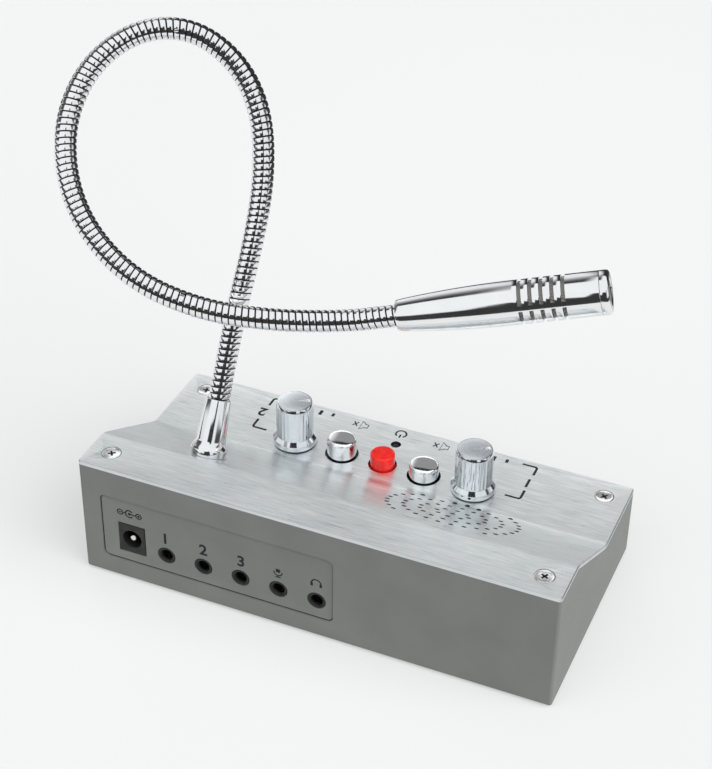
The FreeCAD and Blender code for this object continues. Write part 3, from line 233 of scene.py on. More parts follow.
paint = housingPaint()
brushed = brushedPlate()
cutEdge = plainFinish("cutEdge", (0.62, 0.65, 0.66), (0.78, 0.80, 0.81), (0.36, 0.5), 0.4,
                      {"Metallic": 1.0}, (12, 1, 1), strength=0.1)
# painted shade: a near-black finish for the walls of holes and recesses, standing in for the shade that falls
# inside them
paintedHoleShade = plainFinish("paintedHoleShade", (0.05, 0.052, 0.053), (0.10, 0.102, 0.103), (0.4, 0.55), 0.3,
                       {"Metallic": 0.8})
steel = polished("screwSteel", (0.90, 0.90, 0.89), (0.12, 0.26), 0.7)
chrome = polished("chrome", (0.87, 0.88, 0.89))
knobChrome = polished("knobChrome", (0.78, 0.81, 0.84))
hoseSteel = polished("hoseSteel", (0.90, 0.905, 0.915), (0.06, 0.12), 2.5)
# painted shade: near-black faces in the grooves between the hose windings, where shade falls
paintedGrooveShade = plainFinish("paintedGrooveShade", (0.02, 0.02, 0.022), (0.06, 0.06, 0.063), (0.35, 0.5), 0.4,
                         {"Metallic": 0.8})
micMetal = polished("micMetal", (0.90, 0.905, 0.91), (0.07, 0.12), 6)
nickel = polished("nickel", (0.80, 0.77, 0.70), (0.12, 0.2), 1)
red = redLens()
ledLens = plainFinish("ledLens", (0.003, 0.004, 0.014), (0.006, 0.008, 0.026), (0.10, 0.16), 0.5,
                      {"Specular IOR Level": 0.35}, strength=0.03)
blackPlastic = plainFinish("blackPlastic", (0.006, 0.006, 0.006), (0.012, 0.012, 0.012), (0.28, 0.42), 0.3,
                           {"Specular IOR Level": 0.35})
# ink for the print, which also draws the painted shade line round the socket recess
ink = plainFinish("printInkAndPaintedShadeLine", (0.006, 0.006, 0.008), (0.014, 0.014, 0.017), (0.5, 0.65), 0.2,
                  {"Specular IOR Level": 0.3}, strength=0.1)
rubber = plainFinish("rubber", (0.016, 0.016, 0.016), (0.030, 0.030, 0.029), (0.7, 0.9), 0.4, strength=0.3)
coverPlastic = plainFinish("coverPlastic", (0.10, 0.104, 0.10), (0.13, 0.133, 0.13), (0.5, 0.65), 0.35)
cloth = wovenFinish("grilleCloth", (0.004, 0.004, 0.004), (0.020, 0.020, 0.021), 0.35, (0.8, 0.95))
gauze = wovenFinish("microphoneGauze", (0.012, 0.012, 0.012), (0.30, 0.29, 0.27), 0.45, (0.5, 0.3))
print("finishes mixed")


# making pieces

def newObject(label, mesh):
    obj = bpy.data.objects.new(label, mesh)
    scene.collection.objects.link(obj)
    return obj


def meshObject(label, bm, sharp=30, at=None):
    if at is not None:
        bmesh.ops.transform(bm, verts=bm.verts, matrix=at)
    mesh = bpy.data.meshes.new(label)
    bm.to_mesh(mesh)
    bm.free()
    mesh.shade_smooth()
    mesh.set_sharp_from_angle(angle=math.radians(sharp))
    return newObject(label, mesh)


def place(obj, body, slot, materials, *replaced):
    for made in materials:
        obj.data.materials.append(made)
    if body:
        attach(obj, body)
    if replaced:
        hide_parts(*replaced)
    return obj


def tidyNormals(obj):
    modifier = obj.modifiers.new("evenShading", "WEIGHTED_NORMAL")
    modifier.keep_sharp = True


def mergedNode(name):
    bm = bmesh.new()
    bm.from_mesh(nodes[name].data)
    bmesh.ops.remove_doubles(bm, verts=bm.verts, dist=0.002 * mm)
    return bm


def addMesh(bm, mesh, matrix):
    before = len(bm.verts)
    bm.from_mesh(mesh)
    bm.verts.ensure_lookup_table()
    bmesh.ops.transform(bm, verts=bm.verts[before:], matrix=matrix)


def evaluatedMesh(obj):
    bpy.context.view_layer.update()
    return bpy.data.meshes.new_from_object(obj.evaluated_get(bpy.context.evaluated_depsgraph_get()))


def bakeModifiers(obj):
    mesh = evaluatedMesh(obj)
    obj.modifiers.clear()
    obj.data = mesh


def carve(obj, cutter):
    # takes the cutter's shape out of the piece
    modifier = obj.modifiers.new("carve", "BOOLEAN")
    modifier.operation, modifier.solver, modifier.object = "DIFFERENCE", "EXACT", cutter
    bakeModifiers(obj)
    bpy.data.objects.remove(cutter)


def lathe(profile, steps):
    # turns a profile of (radius, height) or (radius, height, rounding) about Z
    bm = bmesh.new()
    verts = [bm.verts.new(Vector((corner[0], 0, corner[1])) * mm) for corner in profile]
    for pair in zip(verts, verts[1:]):
        bm.edges.new(pair)
    for vert, corner in zip(verts, profile):
        if len(corner) == 3:
            bmesh.ops.bevel(bm, geom=[vert], offset=corner[2] * mm, offset_type="OFFSET", segments=3,
                            profile=0.5, affect="VERTICES", material=-1)
    bmesh.ops.spin(bm, geom=bm.verts[:] + bm.edges[:], cent=(0, 0, 0), axis=(0, 0, 1), dvec=(0, 0, 0),
                   angle=math.tau, steps=steps, use_merge=True, use_normal_flip=False, use_duplicate=False)
    bmesh.ops.remove_doubles(bm, verts=bm.verts, dist=0.0005 * mm)
    bmesh.ops.recalc_face_normals(bm, faces=bm.faces)
    return bm


def axisMatrix(base, axis):
    # local Z goes to the axis, local X as near to straight up as it can
    z = Vector(axis).normalized()
    up = Vector((0, 0, 1)) if abs(z.z) < 0.95 else Vector((1, 0, 0))
    x = (up - z * up.dot(z)).normalized()
    y = z.cross(x)
    return Matrix.Translation(Vector(base) * mm) @ Matrix((x, y, z)).transposed().to_4x4()


def cylindrical(co):
    # angle in degrees and radius in millimetres about Z
    return math.degrees(math.atan2(co.y, co.x)) % 360, math.hypot(co.x, co.y) / mm


# housing, plate, cover, feet

deck = {"low": 25.5, "high": 42.875, "screwX": 69.9, "screwY": 31.4, "edgeX": 76.3, "edgeY": 37.8}


def makeHousing():
    obj = meshObject("housingShell", mergedNode("housing_shell"), 24)
    place(obj, "housing", "housing", [paint], "housing_shell")
    tidyNormals(obj)


def makePlate():
    bm = mergedNode("top_plate")
    uv = bm.loops.layers.uv.new("brush")
    reachX, reachY = deck["edgeX"] * mm, deck["edgeY"] * mm
    for face in bm.faces:
        if abs(face.normal.z) < 0.8:
            middle = face.calc_center_median()
            # outer edges take the cut edge finish; the walls of the holes take the painted hole shade
            face.material_index = 1 if abs(middle.x) > reachX or abs(middle.y) > reachY else 2
        for loop in face.loops:
            loop[uv].uv = (loop.vert.co.y * 10, loop.vert.co.x * 10)
    obj = meshObject("topPlate", bm, 24)
    place(obj, "housing", "plate", [brushed, cutEdge, paintedHoleShade], "top_plate")
    tidyNormals(obj)


# the head's face is dished inside a narrow ring; the cross has four wings that taper towards its foot
screw = {"head": 3.0, "sink": 1.0, "shaft": 1.45, "length": 9.0, "dish": 0.06, "ring": 0.4, "ringTop": 0.28,
         "neck": 0.55, "tip": 0.4, "tipRadius": 0.5, "wing": 0.85, "span": 3.5, "deep": 1.1,
         "wingFoot": (0.45, 0.6, 1), "recessTop": -0.12, "recessFloor": -1.3}


def screwMesh():
    # countersunk head with a tapered cross, its face at z = 0
    head, shank, length, dish = (screw[key] for key in ("head", "shaft", "length", "dish"))
    bm = lathe([(0, -dish), (head - screw["ring"], -dish), (head - screw["ringTop"], 0, 0.08),
                (head, -dish, 0.1), (shank, -screw["sink"] - screw["neck"]), (shank, screw["tip"] - length),
                (shank - screw["tipRadius"], -length), (0, -length)], 40)
    obj = meshObject("screwShape", bm)
    bm = bmesh.new()
    for turn in (0, 90):
        made = bmesh.ops.create_cube(bm, size=1.0)["verts"]
        bmesh.ops.scale(bm, verts=made, vec=Vector((screw["span"], screw["wing"], screw["deep"] * 2)) * mm)
        foot = [vert for vert in made if vert.co.z < 0]
        bmesh.ops.scale(bm, verts=foot, vec=screw["wingFoot"])
        bmesh.ops.rotate(bm, verts=made, matrix=Matrix.Rotation(math.radians(turn), 3, "Z"))
    cutter = meshObject("crossCutter", bm)
    for part in (0, 1):
        # the wings cross, so each is taken out by itself
        bm = bmesh.new()
        bm.from_mesh(cutter.data)
        bm.verts.ensure_lookup_table()
        bmesh.ops.delete(bm, geom=bm.verts[8:] if part == 0 else bm.verts[:8], context="VERTS")
        carve(obj, meshObject("wing", bm))
    bpy.data.objects.remove(cutter)
    mesh = obj.data
    # the faces of the cross recess take the painted hole shade, standing in for the shade inside the recess
    for face in mesh.polygons:
        inRecess = screw["recessFloor"] < face.center.z / mm < screw["recessTop"]
        if inRecess and face.center.xy.length < screw["span"] / 2 * mm:
            face.material_index = 1
    bpy.data.objects.remove(obj)
    return mesh


def makeScrews(label, shape, places, node):
    # places are (x, y, z, upside down, degrees of the cross)
    bm = bmesh.new()
    for x, y, z, below, turn in places:
        matrix = Matrix.Translation(Vector((x, y, z)) * mm) @ Matrix.Rotation(math.pi * below, 4, "X")
        addMesh(bm, shape, matrix @ Matrix.Rotation(math.radians(turn), 4, "Z"))
    place(meshObject(label, bm, 30), "housing", "screw", [steel, paintedHoleShade], node)


foot = {"radius": 5.0, "top": 2.0, "sideLow": 0.55, "sole": 4.4, "rim": 3.2, "dish": 2.9, "dishHeight": 0.25}


def makeUnderside():
    cover = meshObject("bottomCover", mergedNode("bottom_cover"), 24)
    place(cover, "housing", "cover", [coverPlastic], "bottom_cover")
    tidyNormals(cover)
    bm = bmesh.new()
    f = foot
    single = meshObject("foot", lathe([
        (0, f["top"]), (f["radius"], f["top"], 0.1), (f["radius"], f["sideLow"]), (f["sole"], 0, 0.3),
        (f["rim"], 0), (f["dish"], f["dishHeight"]), (0, f["dishHeight"])], 40))
    low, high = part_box("rubber_feet")
    reach = f["radius"] * mm
    for x in (low.x + reach, high.x - reach):
        for y in (low.y + reach, high.y - reach):
            addMesh(bm, single.data, Matrix.Translation((x, y, 0)))
    bpy.data.objects.remove(single)
    place(meshObject("rubberFeet", bm), "housing", "foot", [rubber], "rubber_feet")


makeHousing()
makePlate()
screwShape = screwMesh()
screwPlaces = [(deck["screwX"] * sx, deck["screwY"] * sy, deck["high"] if sy < 0 else deck["low"],
                False, turn) for sx, sy, turn in ((-1, -1, 34), (1, -1, 62), (-1, 1, 12), (1, 1, 48))]
makeScrews("plateScrews", screwShape, screwPlaces, "plate_screws")
coverLow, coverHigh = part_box("cover_screws")
headReach = screw["head"] * mm
coverPlaces = [(x / mm, y / mm, coverLow.z / mm, True, turn)
               for x, turn in ((coverLow.x + headReach, 20), (coverHigh.x - headReach, 75))
               for y in (coverLow.y + headReach, coverHigh.y - headReach)]
makeScrews("coverScrews", screwShape, coverPlaces, "cover_screws")
makeUnderside()
print("housing done")


# sockets

sockets = {"face": -38.5, "inletX": -60.5, "inletZ": 17.0, "firstX": -48.6, "step": 12.7, "jackZ": 14.5,
           "panelX": -31.5, "panelZ": 20.0, "panelWide": 78.2, "panelTall": 24.0, "panelCorner": 1.8}


# a jack: a round snout, a funnel into its bore, a ring of bare contact in the bore, and the block behind
jack = {"snout": 2.95, "snoutBack": -3.0, "collar": 2.35,
        "funnel": [(2.2, -0.28), (2.02, -0.3, 0.08), (1.85, -0.75)], "bore": 1.8, "boreWall": 2.0,
        "contact": (-2.6, -1.0), "end": -12.9, "block": 9}
inletPin = {"radius": 1.05, "tip": 0.45, "length": 13.5, "y": -38.0}


def towardSockets(x, z, y=sockets["face"]):
    # local Z points out of the socket wall, local Y up
    return Matrix.Translation(Vector((x, y, z)) * mm) @ Matrix.Rotation(math.pi / 2, 4, "X")


def makeJacks():
    far, near = jack["contact"]
    for number in range(5):
        x = sockets["firstX"] + sockets["step"] * number
        bm = lathe([(jack["snout"], jack["snoutBack"]), (jack["snout"], 0, 0.18), (jack["collar"], 0, 0.1),
                    *jack["funnel"], (jack["bore"], near), (jack["bore"], far), (jack["bore"], jack["end"]),
                    (0, jack["end"])], 40)
        for face in bm.faces:
            middle = face.calc_center_median()
            if far < middle.z / mm < near and cylindrical(middle)[1] < jack["boreWall"]:
                face.material_index = 1
        bmesh.ops.transform(bm, verts=bm.verts, matrix=towardSockets(x, sockets["jackZ"]))
        low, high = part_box("audio_jack_%d" % (number + 1))
        made = bmesh.ops.create_cube(bm, size=1.0)["verts"]
        back = high.y - jack["block"] * mm
        bmesh.ops.scale(bm, verts=made, vec=(high.x - low.x, high.y - back, high.z - low.z))
        middle = ((low.x + high.x) / 2, (high.y + back) / 2, (low.z + high.z) / 2)
        bmesh.ops.translate(bm, verts=made, vec=middle)
        place(meshObject("audioJack%d" % (number + 1), bm), "housing", "socket", [blackPlastic, nickel],
              "audio_jack_%d" % (number + 1))


def makeInlet():
    inlet = meshObject("powerInlet", mergedNode("dc_inlet"))
    place(inlet, "housing", "socket", [blackPlastic], "dc_inlet")
    edge = inlet.modifiers.new("softEdges", "BEVEL")
    edge.width, edge.segments, edge.limit_method, edge.angle_limit = 0.15 * mm, 2, "ANGLE", math.radians(60)
    radius, length = inletPin["radius"], inletPin["length"]
    bm = lathe([(0, 0), (radius, 0, inletPin["tip"]), (radius, -length), (0, -length)], 32)
    at = towardSockets(sockets["inletX"], sockets["inletZ"], inletPin["y"])
    place(meshObject("inletPin", bm, at=at), "housing", "socket_pin", [nickel], "dc_inlet_pin")


makeJacks()
makeInlet()
print("sockets done")


# buttons, knobs, indicator

controls = {"row": 18.0, "buttons": 14.2, "knobs": 30.8}
cap = {"mute": 4.8, "muteTop": 31.7, "edge": 1.0, "dome": 0.27, "latched": 1.5,
       "power": 4.0, "powerTop": 30.1, "powerSide": 0.6, "powerRim": 0.3, "powerFace": 0.45,
       "flangeLow": 23.0, "flangeHigh": 24.0, "flange": 1.65, "bore": 1.5, "boreTop": 26.0}


def makeCap(label, x, pressed, radius, crown, made, body, slot, node):
    skirt = radius + cap["flange"]
    low, high = cap["flangeLow"], cap["flangeHigh"]
    bm = lathe([(0, cap["boreTop"]), (cap["bore"], cap["boreTop"]), (cap["bore"], low),
                (skirt, low), (skirt, high), (radius, high), *crown], 72)
    bmesh.ops.translate(bm, verts=bm.verts, vec=Vector((x, controls["row"], -pressed)) * mm)
    place(meshObject(label, bm, 40), body, slot, [made], node)


def makeCaps():
    # a rounded edge, and a dome on it that is almost flat
    middle, crest = cap["mute"] - cap["edge"], cap["muteTop"] - cap["edge"]
    turns = [math.radians(82 * step / 8) for step in range(9)]
    edge = [(middle + cap["edge"] * math.cos(turn), crest + cap["edge"] * math.sin(turn)) for turn in turns]
    reach, rim = edge[-1]
    domed = edge + [(reach * share, rim + cap["dome"] * (1 - share ** 2))
                    for share in (0.8, 0.6, 0.4, 0.2, 0)]
    for side, sign, pressed in (("left", -1, 0), ("right", 1, cap["latched"])):
        makeCap("muteCap" + side.title(), controls["buttons"] * sign, pressed, cap["mute"], domed, chrome,
                "mute_key_" + side, "button_chrome", "mute_button_" + side)
    radius, top = cap["power"], cap["powerTop"]
    flat = [(radius, top - cap["powerSide"]), (radius, top - cap["powerRim"], 0.28),
            (radius - cap["powerFace"], top, 0.3), (0, top)]
    makeCap("powerCap", 0, 0, radius, flat, red, "power_key", "button_red", "power_button")


knob = {"base": 25.95, "height": 15.4, "radius": 6.0, "top": 5.6, "bevel": 1.0, "skirt": 7.1, "rim": 1.7,
        "bore": 3.05, "boreTop": 9, "hollow": 5.2, "hollowTop": 1.2, "lip": 0.12, "disc": 0.3,
        "discRise": 0.05, "flare": 1.5, "flutes": 26, "fluteDepth": 0.085, "fade": 0.3, "dotRadius": 0.45,
        "dotReach": 3.55, "dotAngle": 28}


def makeKnob(side, sign):
    k = knob
    x = controls["knobs"] * sign
    edge = k["height"] - k["discRise"]
    bm = lathe([(k["bore"], k["boreTop"]), (k["bore"], k["hollowTop"]), (k["hollow"], k["hollowTop"]),
                (k["hollow"], 0), (k["skirt"], 0, 0.15), (k["skirt"], k["rim"], 0.12),
                (k["radius"], k["rim"] + k["flare"], 0.1), (k["radius"], k["height"] - k["bevel"], 0.06),
                (k["top"], edge, 0.05), (k["top"] - k["lip"], edge), (k["top"] - k["disc"], k["height"]),
                (0, k["height"])], k["flutes"] * 6)
    bottom, top = (k["rim"] + k["flare"] + 0.1) * mm, (k["height"] - k["bevel"] - 0.02) * mm
    # the grip is one tall row of faces: rows near its ends let the flutes fade out there
    for height in (bottom + k["fade"] * mm, top - k["fade"] * mm):
        bmesh.ops.bisect_plane(bm, geom=bm.verts[:] + bm.edges[:] + bm.faces[:], dist=1e-7,
                               plane_co=(0, 0, height), plane_no=(0, 0, 1))
    for vert in bm.verts:
        if bottom + 0.2 * mm < vert.co.z < top - 0.2 * mm:
            angle, radius = cylindrical(vert.co)
            if radius > k["hollow"]:
                dip = k["fluteDepth"] * (1 - math.cos(math.radians(angle * k["flutes"]))) / radius
                vert.co.x *= 1 - dip
                vert.co.y *= 1 - dip
    for face in bm.faces:
        if face.normal.z > 0.9 and face.calc_center_median().z > (k["height"] - 0.02) * mm:
            face.material_index = 1
    bmesh.ops.translate(bm, verts=bm.verts, vec=Vector((x, controls["row"], k["base"])) * mm)
    obj = meshObject("knob" + side.title(), bm, 30)
    obj.data.materials.append(knobChrome)
    obj.data.materials.append(spunSatin("knobTop" + side.title(), (x, controls["row"], 0)))
    bm = bmesh.new()
    bmesh.ops.create_uvsphere(bm, u_segments=24, v_segments=12, radius=k["dotRadius"] * mm)
    angle = math.radians(k["dotAngle"])
    dot = Vector((x + k["dotReach"] * math.cos(angle), controls["row"] + k["dotReach"] * math.sin(angle),
                  k["base"] + k["height"] + 0.1)) * mm
    bmesh.ops.translate(bm, verts=bm.verts, vec=dot)
    carve(obj, meshObject("dot", bm))
    place(obj, "volume_" + side, "knob", [], "knob_" + side)


indicator = {"radius": 1.5, "top": 25.1, "shoulder": 0.7, "dome": [(1.42, 0.4), (1.15, 0.16), (0.7, 0.04)]}


def makeIndicator():
    low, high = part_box("led")
    middle = (low + high) / 2
    radius, top = indicator["radius"], indicator["top"]
    bm = lathe([(0, low.z / mm), (radius, low.z / mm), (radius, top - indicator["shoulder"]),
                *[(reach, top - drop) for reach, drop in indicator["dome"]], (0, top)], 40)
    bmesh.ops.translate(bm, verts=bm.verts, vec=(middle.x, middle.y, 0))
    place(meshObject("indicator", bm, 50), "housing", "led", [ledLens], "led")


makeCaps()
makeKnob("left", -1)
makeKnob("right", 1)
makeIndicator()
print("controls done")


# gooseneck

neckBase = Vector((-45.0, -15.5, 38.803))
neckAxis = Vector((0, 0.4772, 0.8788))
micBack = Vector((6.8, 10.0, 89.203))
micAxis = Vector((0.937, 0.268, 0.222)).normalized()

sleeve = {"height": 18.0, "top": 3.85, "waist": 4.7, "foot": 5.9, "footHeight": 2.4, "flare": 2.8,
          "bore": 3.45, "boreFloor": 4.0, "leadBore": 2.3, "stem": 4.6, "stemLength": 7.0}


def makeSleeve():
    s = sleeve
    spread = s["foot"] - s["waist"]
    curve = [(s["waist"] + spread * share ** 2, s["footHeight"] + s["flare"] * (1 - share))
             for share in (0, 0.2, 0.4, 0.6, 0.8)]
    floor = (s["leadBore"], s["boreFloor"])
    bm = lathe([floor, (s["bore"], s["boreFloor"]), (s["bore"], s["height"], 0.1),
                (s["top"], s["height"], 0.15), *curve, (s["foot"], s["footHeight"], 0.5),
                (s["foot"], 0.0, 0.3), (s["stem"], 0.0), (s["stem"], -s["stemLength"]),
                (s["leadBore"], -s["stemLength"]), floor], 72)
    at = axisMatrix(neckBase, neckAxis)
    place(meshObject("neckSleeve", bm, 35, at), "housing", "sleeve", [chrome], "neck_sleeve")


# The winding's cross section is given in shares of its pitch along the neck and in radii. Its route runs
# up from the foot, over the loop by its corners, measured from the foot, and into the microphone head.
hose = {"pitch": 2.0, "radius": 3.4, "groove": 2.95, "flat": 0.37, "crown": 0.085, "lip": 0.04,
        "lipDrop": 0.11, "sides": 20, "stem": (4, 25, 46), "tail": (-17, -4, 10), "stemBend": (19, 31),
        "tailBend": (-11, 1), "bendReach": 12, "overCrown": (-0.588, 0.265, 0.764),
        "overFall": (0.586, -0.362, -0.725),
        "corners": [(1, 33, 59), (0, 43.5, 76), (-4.5, 52, 93), (-14.5, 56.5, 106), (-29, 55.5, 114.5),
                    (-43.5, 48, 114.5), (-54, 36, 106), (-56.5, 23.5, 93), (-51.5, 13.5, 78.5),
                    (-41, 7, 65.5), (-24.5, 4.5, 54.5), (-4.5, 7, 48.5), (15.5, 12, 47)]}


def hoseLine():
    route = [neckBase + neckAxis * reach for reach in hose["stem"]]
    route += [neckBase + Vector(corner) for corner in hose["corners"]]
    route += [micBack + micAxis * reach for reach in hose["tail"]]
    data = bpy.data.curves.new("hoseLine", "CURVE")
    data.dimensions, data.twist_mode, data.resolution_u = "3D", "MINIMUM", 24
    spline = data.splines.new("NURBS")
    spline.points.add(len(route) - 1)
    for point, corner in zip(spline.points, route):
        point.co = (*(corner * mm), 1)
    spline.order_u = 3
    spline.use_endpoint_u = True
    return newObject("hoseLine", data)


def lineLength(line):
    mesh = evaluatedMesh(line)
    ends = [[mesh.vertices[index].co for index in edge.vertices] for edge in mesh.edges]
    total = sum((first - second).length for first, second in ends)
    bpy.data.meshes.remove(mesh)
    return total / mm


def hoseTurn(pitch):
    # one turn: a crowned strip with turned-in edges that climbs by its own width on the way round
    bm = bmesh.new()
    rim = hose["radius"] - hose["crown"]
    lip, wall = hose["flat"] + hose["lip"], rim - hose["lipDrop"]
    outline = [(-0.5, hose["groove"]), (-lip, wall), (-hose["flat"], rim), (0, hose["radius"]),
               (hose["flat"], rim), (lip, wall), (0.5, hose["groove"])]
    verts = [bm.verts.new(Vector((share * pitch, 0, radius)) * mm) for share, radius in outline]
    edges = [bm.edges.new(pair) for pair in zip(verts, verts[1:])]
    bmesh.ops.spin(bm, geom=verts + edges, cent=(0, 0, 0), axis=(1, 0, 0),
                   dvec=(pitch * mm / hose["sides"], 0, 0), angle=math.tau, steps=hose["sides"],
                   use_merge=False, use_normal_flip=False, use_duplicate=False)
    for face in bm.faces:
        middle = face.calc_center_median()
        # the groove faces take the painted groove shade
        if math.hypot(middle.y, middle.z) < (wall - 0.01) * mm:
            face.material_index = 1
        if face.normal.dot(Vector((0, middle.y, middle.z))) < 0:
            face.normal_flip()
    return bm


def hosePiece(label, line, pitch, first, last):
    bm = hoseTurn(pitch)
    bmesh.ops.translate(bm, verts=bm.verts, vec=((first + 0.5) * pitch * mm, 0, 0))
    obj = meshObject(label, bm, 35)
    turns = obj.modifiers.new("turns", "ARRAY")
    turns.fit_type, turns.count = "FIXED_COUNT", last - first
    turns.use_relative_offset, turns.use_constant_offset = False, True
    turns.constant_offset_displace = (pitch * mm, 0, 0)
    turns.use_merge_vertices, turns.merge_threshold = True, 0.01 * mm
    bend = obj.modifiers.new("bend", "CURVE")
    bend.object, bend.deform_axis = line, "POS_X"
    bakeModifiers(obj)
    bm = bmesh.new()
    bm.from_mesh(obj.data)
    bmesh.ops.holes_fill(bm, edges=[edge for edge in bm.edges if edge.is_boundary], sides=0)
    bm.to_mesh(obj.data)
    bm.free()
    return obj


def makeHose():
    line = hoseLine()
    length = lineLength(line)
    # half a millimetre stays free at each end
    wound = length - 1
    turns = round(wound / hose["pitch"])
    pitch = wound / (turns + 1)
    print("hose %.1f mm, %d turns" % (length, turns))
    pivots = {joint["name"]: joint["pos_m"] for joint in frame["joints"] if joint["type"] == "hinge"}
    crown, fall = (Vector(pivots[name]) / mm for name in ("neck_crown_bend", "neck_fall_bend"))
    overCrown, overFall = (Vector(hose[key]) * hose["bendReach"] for key in ("overCrown", "overFall"))
    stemBend = [neckBase + neckAxis * reach for reach in hose["stemBend"]]
    tailBend = [micBack + micAxis * reach for reach in hose["tailBend"]]
    # each length: its last turn as a share of them all, the bodies it joins, where the bend starts and ends,
    # and the nodes it stands for
    lengths = [("hoseStem", 0.15, "housing", "neck_stem", *stemBend, ["neck_foot"]),
               ("hoseCrown", 0.42, "neck_stem", "neck_crown", crown - overCrown, crown + overCrown,
                ["neck_stem"]),
               ("hoseFall", 0.78, "neck_crown", "neck_run", fall - overFall, fall + overFall, ["neck_crown"]),
               ("hoseRun", 1.0, "neck_run", "microphone", *tailBend, ["neck_run", "neck_tail"])]
    first = 0
    for label, share, before, after, start, end, replaced in lengths:
        last = round(turns * share)
        obj = hosePiece(label, line, pitch, first, last)
        place(obj, None, "neck", [hoseSteel, paintedGrooveShade], *replaced)
        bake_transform(obj)
        first = last
    bpy.data.objects.remove(line)


makeSleeve()
makeHose()
print("gooseneck done")


# microphone head

# the slots run round the head but for three lands, given by their angles and half their width in degrees
head = {"length": 63.3, "ring": 2.8, "edge": 0.9, "radius": 6.65, "backBore": 3.45, "back": 4.6,
        "backStart": 0.02, "shoulder": 4.85, "shoulderAt": 1.2, "taper": 35.0, "wall": 0.9, "steps": 120,
        "slots": 5, "slotFirst": 37.2, "slotStep": 3.2, "slotWidth": 1.2, "lands": (78, 198, 318),
        "land": 7.5, "seam": 0.04, "seamRim": 0.12, "seamEdge": 0.3, "seamDepth": 0.15, "bore": 3.8,
        "boreEdge": 0.35, "plug": 5.6, "plugLength": 3, "meshReach": 1.2, "mesh": 5.62, "meshWall": 0.3,
        "foam": [(0, 60.2), (3.7, 60.2), (3.7, 61.0, 0.2), (3.2, 61.2), (0, 61.3)]}


def micPlace():
    return axisMatrix(micBack, micAxis)


def makeMicBody():
    h = head
    rise, run = h["radius"] - h["shoulder"], h["taper"] - h["shoulderAt"]
    profile = [(h["backBore"], h["backStart"]), (h["back"], h["backStart"], 0.08)]
    for step in range(10, -1, -1):
        profile.append((h["radius"] - rise * (step / 10) ** 2, h["taper"] - run * (step / 10)))
    slots = []
    for number in range(h["slots"]):
        middle = h["slotFirst"] + h["slotStep"] * number
        slots.append((middle - h["slotWidth"] / 2, middle + h["slotWidth"] / 2))
        profile += [(h["radius"], slots[-1][0]), (h["radius"], slots[-1][1])]
    front = h["length"] - h["ring"]
    profile += [(h["radius"], front - h["seamEdge"]), (h["radius"], front - h["seamRim"], 0.08),
                (h["radius"] - h["seamDepth"], front - h["seam"])]
    bm = lathe(profile, h["steps"])
    gone = []
    for face in bm.faces:
        middle = face.calc_center_median()
        angle = cylindrical(middle)[0]
        inRing = any(low < middle.z / mm < high for low, high in slots)
        onLand = any(abs((angle - land + 180) % 360 - 180) < h["land"] for land in h["lands"])
        if inRing and not onLand:
            gone.append(face)
    bmesh.ops.delete(bm, geom=gone, context="FACES")
    obj = meshObject("micBody", bm, 60, micPlace())
    wall = obj.modifiers.new("wall", "SOLIDIFY")
    wall.thickness, wall.offset, wall.use_even_offset = h["wall"] * mm, -1, True
    edge = obj.modifiers.new("rims", "BEVEL")
    edge.width, edge.segments, edge.limit_method, edge.angle_limit = 0.2 * mm, 2, "ANGLE", math.radians(50)
    bakeModifiers(obj)
    obj.data.set_sharp_from_angle(angle=math.radians(50))
    place(obj, "microphone", "mic", [micMetal], "mic_body")


def makeMicParts():
    h = head
    front = h["length"] - h["ring"]
    radius, length, edge = h["radius"], h["length"], h["edge"]
    back = front - h["plugLength"]
    bm = lathe([(h["bore"], back), (h["plug"], back), (h["plug"], front), (radius, front + 0.02, 0.08),
                (radius, length - edge, 0.3), (radius - 0.3 * edge, length - 0.3 * edge, 0.3),
                (radius - edge, length, 0.3), (h["bore"] + h["boreEdge"], length, 0.15),
                (h["bore"], length - h["boreEdge"], 0.1), (h["bore"], back)], 96)
    # the bore's wall takes the painted hole shade, standing in for the shade inside the bore
    for face in bm.faces:
        if cylindrical(face.calc_center_median())[1] < h["bore"] + 0.05:
            face.material_index = 1
    ring = meshObject("micEndRing", bm, 40, micPlace())
    place(ring, "microphone", "mic", [micMetal, paintedHoleShade], "mic_end_ring")
    start = h["slotFirst"] - h["meshReach"]
    end = h["slotFirst"] + h["slotStep"] * (h["slots"] - 1) + h["meshReach"]
    inner = h["mesh"] - h["meshWall"]
    bm = lathe([(inner, start), (h["mesh"], start), (h["mesh"], end), (inner, end), (inner, start)], 64)
    place(meshObject("micGauze", bm, 40, micPlace()), "microphone", "mesh", [gauze], "mic_mesh")
    place(meshObject("micFrontFoam", lathe(h["foam"], 48), 40, micPlace()), "microphone", "holder", [rubber])


makeMicBody()
makeMicParts()
print("microphone done")


# printing

printing = {"ink": 0.05, "stroke": 0.42, "bold": 0.13, "fontScale": 1.37}


